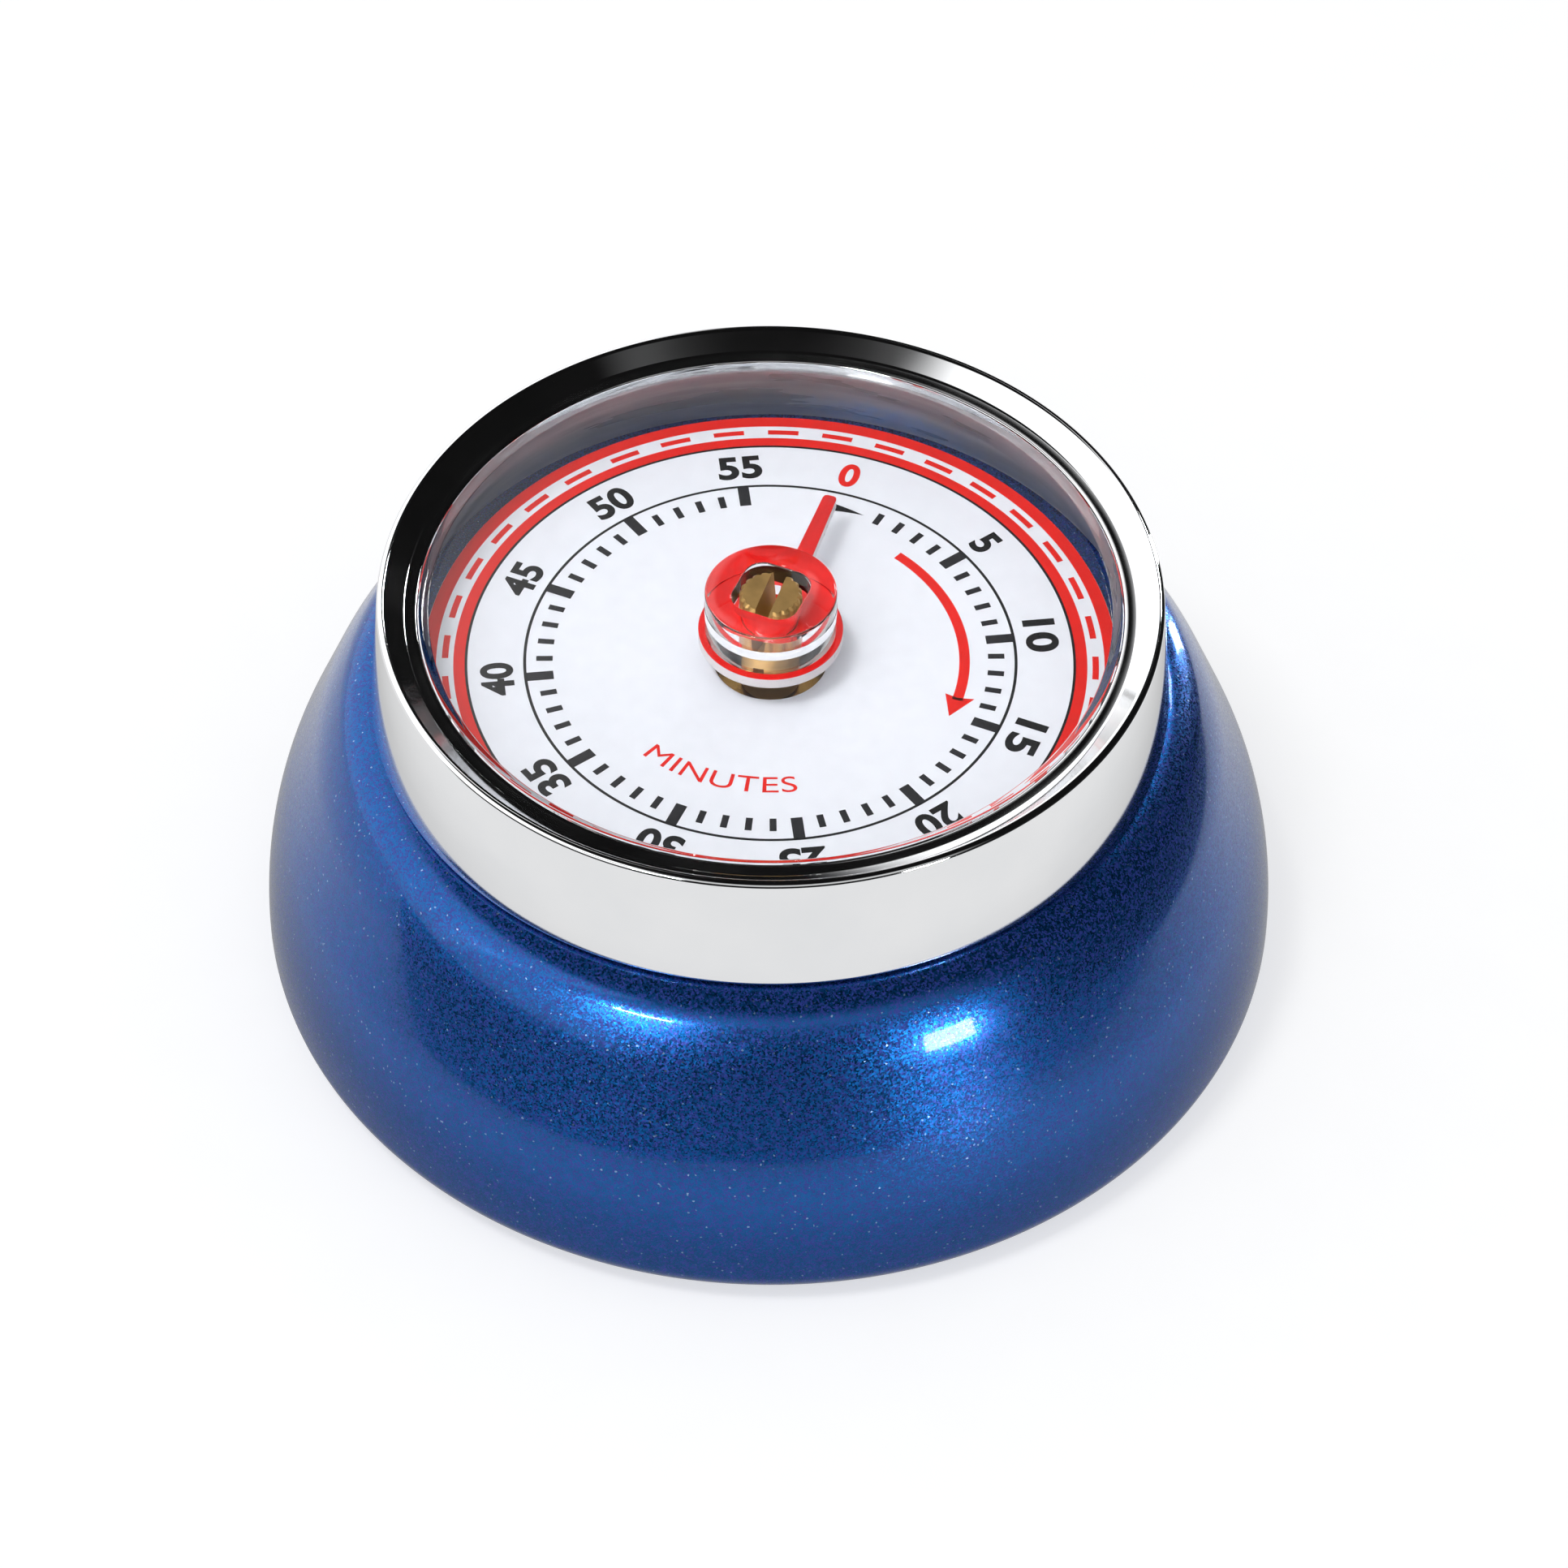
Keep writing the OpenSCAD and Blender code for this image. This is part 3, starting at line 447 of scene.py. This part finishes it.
# ---------------------------------------------------------------- dial and its printing
dial = lathe("dial", soften([
    (DIAL_HOLE, seat_z), (dial_r, seat_z), (dial_r, dial_top), (DIAL_HOLE, dial_top)], 0.12 * MM), DIAL)
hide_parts("dial_plate")
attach(dial, "case")

# the printed circles, as shares of the thin minute circle R1
R1 = 16.5 * MM
PRINT_Z = dial_top + 0.006 * MM
TICK_FROM, TICK_TO, TICK_WIDE, TICK_THIN = 0.886, 0.953, 0.78 * MM, 0.46 * MM
NUMBERS_R = 1.114
BLACK_LINE, RED_LINE, DASHES, RED_BORDER = (1.233, 1.244), (1.244, 1.290), (1.311, 1.337), 1.360
WEDGE_R, WEDGE_HALF, WEDGE_FROM, WEDGE_SWEEP = 0.912, 0.022, -7, 9
ARROW_R, ARROW_FROM, ARROW_TO = (0.769, 0.812), 18.4, 84
ARROW_HEAD = ((0.79, 91), (0.857, 82.3), (0.79, 83.2), (0.735, 82.3))
WORD_R, WORD_AT = 0.705, 174
GLYPH_WEIGHT = 0.035


def at_clock(r, deg, z=PRINT_Z):
    """A point on the dial, its angle counted clockwise from the dial's zero."""
    a = math.radians(90 - deg)
    return (r * math.cos(a), r * math.sin(a), z)


def ring_print(bm, r0, r1, a0=0.0, a1=360.0, n=240, index=0):
    for i in range(n):
        t0, t1 = a0 + (a1 - a0) * i / n, a0 + (a1 - a0) * (i + 1) / n
        f = bm.faces.new([bm.verts.new(p) for p in (
            at_clock(r0, t0), at_clock(r0, t1), at_clock(r1, t1), at_clock(r1, t0))])
        f.material_index = index


def bar_print(bm, r0, r1, deg, width, index=0):
    c, s = Vector(at_clock(1, deg, 0)), Vector(at_clock(1, deg + 90, 0))
    pts = [c * r0 - s * width / 2, c * r1 - s * width / 2, c * r1 + s * width / 2, c * r0 + s * width / 2]
    f = bm.faces.new([bm.verts.new((p.x, p.y, PRINT_Z)) for p in pts])
    f.material_index = index


def glyphs(bm, text, height, width, weight, move, index=0):
    """Printed characters of one height and width each, set side by side around the origin."""
    curve = bpy.data.curves.new("glyph", "FONT")
    curve.body = text
    curve.size = 1.0
    curve.offset = weight
    curve.resolution_u = 6
    curve.space_character = 1.02
    obj = bpy.data.objects.new("glyph", curve)
    bpy.context.scene.collection.objects.link(obj)
    bpy.context.view_layer.update()
    mesh = bpy.data.meshes.new_from_object(obj)
    bpy.data.objects.remove(obj)
    xs = [v.co.x for v in mesh.vertices]
    ys = [v.co.y for v in mesh.vertices]
    sx, sy = width * len(text) / (max(xs) - min(xs)), height / (max(ys) - min(ys))
    cx, cy = (max(xs) + min(xs)) / 2, (max(ys) + min(ys)) / 2
    verts = [bm.verts.new(move(((v.co.x - cx) * sx, (v.co.y - cy) * sy))) for v in mesh.vertices]
    for p in mesh.polygons:
        f = bm.faces.new([verts[i] for i in p.vertices])
        f.material_index = index
    bpy.data.meshes.remove(mesh)


def facing(r, deg):
    """Places a character at r and deg with its top outwards."""
    c, s = Vector(at_clock(1, deg, 0)), Vector(at_clock(1, deg + 90, 0))

    def move(p):
        q = c * (r + p[1]) + s * p[0]
        return (q.x, q.y, PRINT_Z)
    return move


bm = bmesh.new()
K, G, R = 0, 1, 2  # the black, grey and red inks
ring_print(bm, R1 - 0.10 * MM, R1 + 0.10 * MM, index=K)
for minute in range(1, 56):
    if minute % 5 == 0:
        bar_print(bm, TICK_FROM * R1, R1, minute * 6, TICK_WIDE, G)
    else:
        bar_print(bm, TICK_FROM * R1, TICK_TO * R1, minute * 6, TICK_THIN, G)
ring_print(bm, BLACK_LINE[0] * R1, BLACK_LINE[1] * R1, index=K)
ring_print(bm, RED_LINE[0] * R1, RED_LINE[1] * R1, index=R)
for i in range(36):
    ring_print(bm, DASHES[0] * R1, DASHES[1] * R1, i * 10 + 6.2, i * 10 + 11.8, 5, R)
ring_print(bm, RED_BORDER * R1, dial_r - 0.05 * MM, index=R)
# the long wedge that leads up to the dial's zero
steps = 18
for i in range(steps):
    t0, t1 = i / steps, (i + 1) / steps
    a0, a1 = WEDGE_FROM + WEDGE_SWEEP * t0, WEDGE_FROM + WEDGE_SWEEP * t1
    w0, w1 = WEDGE_HALF * R1 * (1 - t0), WEDGE_HALF * R1 * (1 - t1)
    mid = WEDGE_R * R1
    f = bm.faces.new([bm.verts.new(at_clock(r, a)) for r, a in (
        (mid - w0, a0), (mid + w0, a0), (mid + w1 + 1e-7, a1), (mid - w1, a1))])
    f.material_index = K
for five in range(5, 60, 5):
    wide = 1.3 * MM if five == 5 else 1.53 * MM
    glyphs(bm, str(five), 2.25 * MM, wide, GLYPH_WEIGHT, facing(NUMBERS_R * R1, five * 6), K)
glyphs(bm, "0", 2.3 * MM, 1.42 * MM, GLYPH_WEIGHT, facing(NUMBERS_R * R1, -6), R)
# the red arrow that says which way to wind
ring_print(bm, ARROW_R[0] * R1, ARROW_R[1] * R1, ARROW_FROM, ARROW_TO, 60, R)
f = bm.faces.new([bm.verts.new(at_clock(share * R1, deg)) for share, deg in ARROW_HEAD])
f.material_index = R


def along(r, deg):
    """Bends a word along a circle below the centre, its tops towards the centre."""
    def move(p):
        return at_clock(r - p[1], deg - math.degrees(p[0] / r))
    return move


glyphs(bm, "MINUTES", 1.4 * MM, 1.5 * MM, 0.0, along(WORD_R * R1, WORD_AT), R)
printing = new_object("dial_print", bm, [BLACK_INK, GREY_INK, RED_INK])
for p in printing.data.polygons:
    if p.normal.z < 0:
        p.flip()
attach(printing, "case")


# ---------------------------------------------------------------- ring
def ring_outline():
    rim_c = (ring_r - TAPER - RIM_R, rim_z - RIM_R)
    b = math.degrees(BEVEL)
    bevel_top = (rim_c[0] - RIM_R * math.sin(BEVEL), rim_c[1] + RIM_R * math.cos(BEVEL))
    foot_r = bevel_top[0] - (bevel_top[1] - lip_z) / math.tan(BEVEL)
    play = 0.02 * MM
    seat_r = ring_in + 0.4 * MM + play
    out = [(ring_in + RING_FLARE, ring_foot)]
    out += arc((ring_r - FOOT_ROUND, ring_foot + FOOT_ROUND), FOOT_ROUND, -90, 0, 6)
    out += arc(rim_c, RIM_R, 5, 90 + b, 16)
    out += [(foot_r + 0.12 * MM, lip_z + 0.097 * MM), (foot_r + 0.03 * MM, lip_z + 0.04 * MM),
            (foot_r - 0.06 * MM, lip_z + 0.03 * MM), (lip_r + 0.32 * MM, lip_z + 0.012 * MM)]
    out += arc((lip_r + 0.1 * MM, lip_z - 0.1 * MM), 0.1 * MM, 90, 180, 5)
    out += [(lip_r, lens_top + play), (seat_r, lens_top + play),
            (seat_r, lens_z - play), (ring_in, lens_z - play)]
    out += [(ring_in, lens_z - LEDGE_T), (ring_in + RING_FLARE, ring_foot + 0.2 * MM)]
    return out


ring = lathe("ring", ring_outline(), [CHROME, INSIDE], n=360, sharp=50)
# the wall under the lens has a duller finish than the outside
for p in ring.data.polygons:
    outward = p.normal.xy.dot(p.center.xy)
    p.material_index = 1 if p.center.z < lens_z and outward < 0 else 0
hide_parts("bezel_ring")
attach(ring, "setting_knob")


# ---------------------------------------------------------------- lens and hub
def rounded_square(width, corner, grow=0.0):
    half, c = width / 2 + grow, corner + grow

    def r(a):
        x, y = abs(math.cos(a)), abs(math.sin(a))
        if x < y:
            x, y = y, x
        t = half / x
        if t * y <= half - c:
            return t
        k = half - c
        d = k * (x + y)
        return d + math.sqrt(max(0.0, d * d - 2 * k * k + c * c))
    return r


def lens_outline():
    """A flat plate with a raised fillet under the ring's lip and a hole that the hub fills."""
    edge = ring_in + 0.37 * MM
    hole = HUB_R + 0.02 * MM
    inner = lip_r - FILLET
    out = [(hole, lens_z), (edge - 0.05 * MM, lens_z), (edge, lens_z + 0.05 * MM)]
    out += [(edge, lens_top - 0.02 * MM), (edge - 0.05 * MM, lens_top), (lip_r - 0.04 * MM, lens_top)]
    out += [(lip_r - 0.04 * MM, lens_top + FILLET_H - 0.08 * MM), (lip_r - 0.12 * MM, lens_top + FILLET_H)]
    out += [(inner + (FILLET - 0.12 * MM) * (1 - math.sin(math.radians(a))) * 0.8,
             lens_top + FILLET_H * (1 - math.sin(math.radians(a)))) for a in range(0, 91, 30)]
    return out + [(hole, lens_top)]


def hub_outline():
    """A cylinder with a bore for the arbor and a socket that is square at the top and round below."""
    floor_z = pointer_top + HUB_FLOOR
    out = [(BORE_R, pointer_top), (HUB_R - 0.05 * MM, pointer_top), (HUB_R, pointer_top + 0.05 * MM)]
    out += arc((HUB_R - HUB_ROUND, rim_z - HUB_ROUND), HUB_ROUND, 0, 90, 5)
    for k in range(5):
        a = math.radians(90 * k / 4)
        out.append((rounded_square(SOCKET_W, SOCKET_R, SOCKET_ROUND * (1 - math.sin(a))),
                    rim_z - SOCKET_ROUND * (1 - math.cos(a))))
    step_z = rim_z - SOCKET_H
    return out + [(rounded_square(SOCKET_W, SOCKET_R), step_z), (HEAD_R + 0.04 * MM, step_z - 0.1 * MM),
                  (HEAD_R + 0.04 * MM, floor_z), (BORE_R, floor_z)]


bm = bmesh.new()
lathe_into(bm, lens_outline())
lathe_into(bm, hub_outline())
lens = new_object("lens_and_hub", bm, CLEAR, 35)
lens.visible_shadow = False
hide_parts("lens")
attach(lens, "setting_knob")

# ---------------------------------------------------------------- pointer
bm = bmesh.new()
lathe_into(bm, soften([(BORE_R, pointer_low), (DISC_R, pointer_low), (DISC_R, pointer_top - 0.005 * MM),
                       (BORE_R, pointer_top - 0.005 * MM)], 0.08 * MM), 160)
turn = math.radians(90 + POINTER_REST)
u, v = Vector((math.cos(turn), math.sin(turn), 0)), Vector((-math.sin(turn), math.cos(turn), 0))
section = [(DISC_R - 0.1 * MM, 0.65), (NEEDLE_REACH - 0.3 * MM, 0.48), (NEEDLE_REACH - 0.08 * MM, 0.4),
           (NEEDLE_REACH, 0.2)]
outline = [(x, -w) for x, w in section] + [(x, w) for x, w in reversed(section)]
rings = []
for z, inset in ((pointer_low, 0.06), (pointer_low + 0.06 * MM, 0),
                 (pointer_top - 0.07 * MM, 0), (pointer_top - 0.01 * MM, 0.06)):
    ring_v = []
    for x, w in outline:
        sign = 1 if w > 0 else -1
        p = u * (x - (inset * MM if x > DISC_R else 0)) + v * (w - sign * min(inset, abs(w) * 0.5)) * MM
        ring_v.append(bm.verts.new((p.x, p.y, z)))
    rings.append(ring_v)
for a, b in zip(rings, rings[1:]):
    for i in range(len(a)):
        bm.faces.new((a[i], a[(i + 1) % len(a)], b[(i + 1) % len(a)], b[i]))
bm.faces.new(rings[0])
bm.faces.new(rings[-1])
pointer = new_object("pointer_piece", bm, [RED_FOIL, EDGE], 40)
for p in pointer.data.polygons:
    p.material_index = 0 if p.normal.z > 0.5 else 1
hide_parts("pointer")
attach(pointer, "setting_knob")

# ---------------------------------------------------------------- main arbor
front_top = high("front_plate")
rear_top = high("rear_plate")
plate_low = low("front_plate")


def fluted(r, depth, count):
    def f(a):
        return r - depth * (0.5 - 0.5 * math.cos(count * a)) ** 2
    return f


flute = fluted(HEAD_R, 0.14 * MM, 20)
head_top = arbor_top + 0.5 * MM
plain_top = pointer_top + HUB_FLOOR
arbor_outline = [
    (AXIS_R, arbor_low), (1.0 * MM, arbor_low), (1.1 * MM, arbor_low + 0.1 * MM),
    (1.1 * MM, rear_top + 0.2 * MM), (1.5 * MM, rear_top + 0.2 * MM), (1.5 * MM, plate_low - 1.0 * MM),
    (2.1 * MM, plate_low - 1.0 * MM), (2.1 * MM, plate_low - 0.2 * MM), (1.5 * MM, plate_low - 0.2 * MM),
    (1.5 * MM, front_top + 0.2 * MM), (ARBOR_R, front_top + 0.2 * MM), (ARBOR_R, plain_top),
    (flute, plain_top + 0.1 * MM), (flute, head_top - 0.2 * MM),
    (fluted(1.9 * MM, 0.1 * MM, 20), head_top), (AXIS_R, head_top)]
arbor = lathe("arbor", arbor_outline, ARBOR_BRASS, n=240, sharp=35)
# the tapered slot across the arbor's head, in line with the pointer
bm = bmesh.new()
wedge = [(-0.52, 0.2), (-0.26, -3.0), (0.26, -3.0), (0.52, 0.2)]
slot_turn = Matrix.Rotation(math.radians(POINTER_REST), 4, "Z")
ends = []
for y in (-3 * MM, 3 * MM):
    ends.append([bm.verts.new(slot_turn @ Vector((x * MM, y, head_top + z * MM))) for x, z in wedge])
for i in range(4):
    bm.faces.new((ends[0][i], ends[0][(i + 1) % 4], ends[1][(i + 1) % 4], ends[1][i]))
bm.faces.new(ends[0])
bm.faces.new(ends[1])
cutter = new_object("wedge", bm, ARBOR_BRASS)
cut(arbor, [cutter])
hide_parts("main_arbor")
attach(arbor, "setting_knob")

# ---------------------------------------------------------------- rear cover and magnet
well_in = magnet_r + 0.1 * MM
well_out = well_in + 1.2 * MM
cover = lathe("cover", soften([
    (well_in, 0), (cover_r - 2.2 * MM, 0), (cover_r - 1.9 * MM, 0.12 * MM), (cover_r - 1.4 * MM, 0.12 * MM),
    (cover_r - 1.1 * MM, 0), (cover_r, 0), (cover_r, COVER_T), (well_out, COVER_T), (well_out, well_top),
    (0.002 * MM, well_top), (0.002 * MM, magnet_top), (well_in, magnet_top)], 0.14 * MM), COVER, n=256)
tools = []
for deg in (30, 150, 270):
    c = (SCREW_CIRCLE * math.cos(math.radians(deg)), SCREW_CIRCLE * math.sin(math.radians(deg)))
    for r, top in ((SCREW_HEAD_R, COVER_T / 2), (SCREW_HOLE_R, COVER_T * 2)):
        bm = bmesh.new()
        bmesh.ops.create_cone(bm, cap_ends=True, segments=64, radius1=r, radius2=r, depth=top + 1 * MM,
                              matrix=Matrix.Translation((c[0], c[1], (top - 1 * MM) / 2)))
        tools.append(new_object("tool", bm, COVER))
cut(cover, tools)
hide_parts("rear_cover")
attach(cover, "case")
magnet = lathe("magnet_disc", soften([
    (0.002 * MM, 0), (magnet_r, 0), (magnet_r, magnet_top - 0.02 * MM), (0.002 * MM, magnet_top - 0.02 * MM)],
    0.3 * MM, 4), FERRITE, n=200)
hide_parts("magnet")
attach(magnet, "case")

# ---------------------------------------------------------------- movement and screws, as built
FINISH = {"brass": BRASS, "steel": STEEL, "spring_steel": SPRING, "cover_grey": COVER, "ferrite": FERRITE,
          "blue_lacquer": BLUE, "chrome": CHROME, "clear_plastic": CLEAR, "dial_white": DIAL,
          "pointer_red": RED_FOIL}
for part in frame["record"]["subparts"]:
    obj = frame["nodes"][part["node"]]
    obj.data.materials.clear()
    obj.data.materials.append(FINISH[part["material_slot"]])

# ---------------------------------------------------------------- floor, light and camera
AZ = math.radians(23.06)
right = Vector((math.cos(AZ), math.sin(AZ), 0))
away = Vector((-math.sin(AZ), math.cos(AZ), 0))
up = Vector((0, 0, 1))

# where the pale table ends for mirrors, from the object's middle, and how bright it is there
TABLE_END, TABLE_RIGHT, TABLE_CORNER, TABLE_SIDE, TABLE_GLOW = 0.110, 0.080, 0.079, 0.024, 0.85

bm = bmesh.new()
bmesh.ops.create_circle(bm, cap_ends=True, segments=96, radius=4.0)
m, t, b = material("floor")
t.nodes.remove(b)
diffuse = node(t, "ShaderNodeBsdfDiffuse")
grain = node(t, "ShaderNodeTexNoise", in_Scale=1.0)
t.links.new(place(t, 200), grain.inputs["Vector"])
t.links.new(ramp(t, grain.outputs["Fac"], [(0.3, grey(0.50)), (0.7, grey(0.51))]), diffuse.inputs["Color"])
glow = node(t, "ShaderNodeEmission")
paths = node(t, "ShaderNodeLightPath")
glow.inputs["Strength"].default_value = 0.6
add = node(t, "ShaderNodeAddShader")
t.links.new(diffuse.outputs[0], add.inputs[0])
t.links.new(glow.outputs[0], add.inputs[1])
# mirrors see the dark beyond the table's edges, and painted shade on the floor close to the object, in place
# of its shadow
spot = node(t, "ShaderNodeTexCoord")


def measure(way, reach):
    toward = node(t, "ShaderNodeVectorMath", operation="DOT_PRODUCT")
    t.links.new(spot.outputs["Object"], toward.inputs[0])
    toward.inputs[1].default_value = tuple(way / reach)
    return toward.outputs["Value"]


corner = node(t, "ShaderNodeMath", operation="MINIMUM")
t.links.new(measure(-away * 0.64 - right * 0.77, TABLE_CORNER), corner.inputs[0])
t.links.new(measure(-away, TABLE_SIDE), corner.inputs[1])
front = node(t, "ShaderNodeMath", operation="MAXIMUM")
t.links.new(measure(-away, TABLE_END), front.inputs[0])
t.links.new(measure(right, TABLE_RIGHT), front.inputs[1])
beyond = node(t, "ShaderNodeMath", operation="MAXIMUM")
t.links.new(front.outputs[0], beyond.inputs[0])
t.links.new(corner.outputs[0], beyond.inputs[1])
table = node(t, "ShaderNodeMapRange", interpolation_type="SMOOTHSTEP")
for k, v in (("From Min", 0.94), ("From Max", 1.06), ("To Min", TABLE_GLOW), ("To Max", 0.02)):
    table.inputs[k].default_value = v
t.links.new(beyond.outputs[0], table.inputs["Value"])
# painted shade: for mirrors the floor darkens towards the object, from full brightness 58 mm out down to 0.45
# at the body's edge
reach = node(t, "ShaderNodeVectorMath", operation="LENGTH")
t.links.new(spot.outputs["Object"], reach.inputs[0])
painted_shade = node(t, "ShaderNodeMapRange", interpolation_type="SMOOTHSTEP")
for k, v in (("From Min", body_r), ("From Max", 0.058), ("To Min", 0.45), ("To Max", 1.0)):
    painted_shade.inputs[k].default_value = v
t.links.new(reach.outputs["Value"], painted_shade.inputs["Value"])
# the table's brightness times the painted shade, as the glow that mirrors see
table_with_painted_shade = node(t, "ShaderNodeMath", operation="MULTIPLY")
t.links.new(table.outputs["Result"], table_with_painted_shade.inputs[0])
t.links.new(painted_shade.outputs["Result"], table_with_painted_shade.inputs[1])
shine = node(t, "ShaderNodeEmission")
t.links.new(table_with_painted_shade.outputs[0], shine.inputs["Strength"])
either = node(t, "ShaderNodeMixShader")
t.links.new(paths.outputs["Is Glossy Ray"], either.inputs[0])
t.links.new(add.outputs[0], either.inputs[1])
t.links.new(shine.outputs[0], either.inputs[2])
t.links.new(either.outputs[0], t.nodes["Material Output"].inputs["Surface"])
floor = new_object("floor", bm, m)
floor.location.z = -0.00002

world = bpy.data.worlds.new("studio")
bpy.context.scene.world = world
world.use_nodes = True
t = world.node_tree
t.nodes.clear()


def maths(op, a, b=0.0):
    n = node(t, "ShaderNodeMath", operation=op)
    for i, v in enumerate((a, b)):
        if isinstance(v, (int, float)):
            n.inputs[i].default_value = v
        else:
            t.links.new(v, n.inputs[i])
    return n.outputs[0]


def edge(value, at, soft):
    n = node(t, "ShaderNodeMapRange", interpolation_type="SMOOTHSTEP")
    n.inputs["From Min"].default_value = at - soft
    n.inputs["From Max"].default_value = at + soft
    t.links.new(value, n.inputs["Value"])
    return n.outputs["Result"]


def panel(azimuths, lean, heights, soft, level):
    """A lit card that takes up a range of directions, in degrees from straight away and from level."""
    first = edge(maths("ADD", azimuth, maths("MULTIPLY", height, lean)), azimuths[0], soft)
    wide = maths("SUBTRACT", first, edge(azimuth, azimuths[1], soft))
    tall = maths("SUBTRACT", edge(height, heights[0], soft), edge(height, heights[1], soft))
    return maths("MULTIPLY", maths("MULTIPLY", wide, tall), level)


tc = node(t, "ShaderNodeTexCoord")
xyz = node(t, "ShaderNodeSeparateXYZ")
t.links.new(tc.outputs["Generated"], xyz.inputs[0])
leftward = maths("MULTIPLY", xyz.outputs[0], -1.0)
around = maths("MULTIPLY", maths("ARCTAN2", leftward, xyz.outputs[1]), 180 / math.pi)
azimuth = maths("SUBTRACT", math.degrees(AZ), around)
height = maths("MULTIPLY", maths("ARCSINE", xyz.outputs[2]), 180 / math.pi)
# a tall card at the left and three dim ones in front, which only mirrors see
level = maths("ADD", panel((-104, -4), 0.8, (-2, 52.5), 3, 1.75), 0.006)
for span in ((130, 230), (-230, -130)):
    level = maths("ADD", level, panel(span, 0.0, (22, 48), 12, 0.9))
level = maths("ADD", level, panel((-148, -106), 0.0, (-4, 24), 8, 1.4))
seen = node(t, "ShaderNodeBackground")
t.links.new(level, seen.inputs["Strength"])
paths = node(t, "ShaderNodeLightPath")
daylight = node(t, "ShaderNodeBackground", in_Color=(0.97, 0.985, 1.0, 1), in_Strength=0.6)
mix1 = node(t, "ShaderNodeMixShader")
t.links.new(paths.outputs["Is Glossy Ray"], mix1.inputs[0])
t.links.new(daylight.outputs[0], mix1.inputs[1])
t.links.new(seen.outputs[0], mix1.inputs[2])
room = node(t, "ShaderNodeBackground", in_Strength=0.6)
mix3 = node(t, "ShaderNodeMixShader")
t.links.new(paths.outputs["Is Transmission Ray"], mix3.inputs[0])
t.links.new(mix1.outputs[0], mix3.inputs[1])
t.links.new(room.outputs[0], mix3.inputs[2])
white = node(t, "ShaderNodeBackground", in_Strength=1.0)
mix2 = node(t, "ShaderNodeMixShader")
t.links.new(paths.outputs["Is Camera Ray"], mix2.inputs[0])
t.links.new(mix3.outputs[0], mix2.inputs[1])
t.links.new(white.outputs[0], mix2.inputs[2])
out = node(t, "ShaderNodeOutputWorld")
t.links.new(mix2.outputs[0], out.inputs[0])


def direction(round_from_away, above_level):
    a, h = math.radians(round_from_away), math.radians(above_level)
    return (math.sin(a) * math.cos(h), math.cos(a) * math.cos(h), math.sin(h))


def softbox(name, way, distance, size, watts):
    data = bpy.data.lights.new(name, "AREA")
    data.shape = "RECTANGLE"
    data.size, data.size_y = size
    data.energy = watts
    obj = bpy.data.objects.new(name, data)
    bpy.context.scene.collection.objects.link(obj)
    d = (right * way[0] + away * way[1] + up * way[2]).normalized()
    obj.location = d * distance + Vector((0, 0, 0.015))
    obj.rotation_euler = d.to_track_quat("Z", "Y").to_euler()
    return obj


key = softbox("key", (-0.98, -0.74, 2.9), 0.7, (0.16, 0.16), 1.42)
key.visible_glossy = False
# small lamps that only make the highlights on the lacquer
for name, way, distance, size, watts in (
        ("left_lamp", direction(-152, 21), 0.6, (0.13, 0.022), 1.6),
        ("front_lamp", direction(143, 4), 0.235, (0.044, 0.028), 0.19),
        ("right_lamp", direction(27, 38), 0.6, (0.10, 0.05), 0.4),
        ("right_strip", direction(42, 7), 0.2, (0.014, 0.06), 0.08)):
    lamp = softbox(name, way, distance, size, watts)
    lamp.visible_diffuse = False
    lamp.visible_camera = False

camera_data = bpy.data.cameras.new("camera")
camera = bpy.data.objects.new("camera", camera_data)
bpy.context.scene.collection.objects.link(camera)
# height above level, distance, roll, and the aim's small offsets as slopes
ELEV, DIST, ROLL = math.radians(47.15), 0.3620, math.radians(0.40)
AIM_RIGHT, AIM_DOWN, AIM_Z = -0.0027077, -0.0041692, 0.015
LENS_MM, SENSOR_MM = 121.118, 36
look0 = away * math.cos(ELEV) - up * math.sin(ELEV)
eye = Vector((0, 0, AIM_Z)) - look0 * DIST
r0, u0 = right, away * math.sin(ELEV) + up * math.cos(ELEV)
r = r0 * math.cos(ROLL) + u0 * math.sin(ROLL)
u = -r0 * math.sin(ROLL) + u0 * math.cos(ROLL)
look = (look0 - r * AIM_RIGHT + u * AIM_DOWN).normalized()
r = (r - look * r.dot(look)).normalized()
u = r.cross(look)
camera.matrix_world = Matrix((
    (r.x, u.x, -look.x, eye.x), (r.y, u.y, -look.y, eye.y), (r.z, u.z, -look.z, eye.z), (0, 0, 0, 1)))
camera_data.sensor_fit = "HORIZONTAL"
camera_data.sensor_width = SENSOR_MM
camera_data.lens = LENS_MM
camera_data.clip_start = 0.01
camera_data.clip_end = 20
bpy.context.scene.camera = camera
bpy.context.scene.view_settings.view_transform = "Standard"
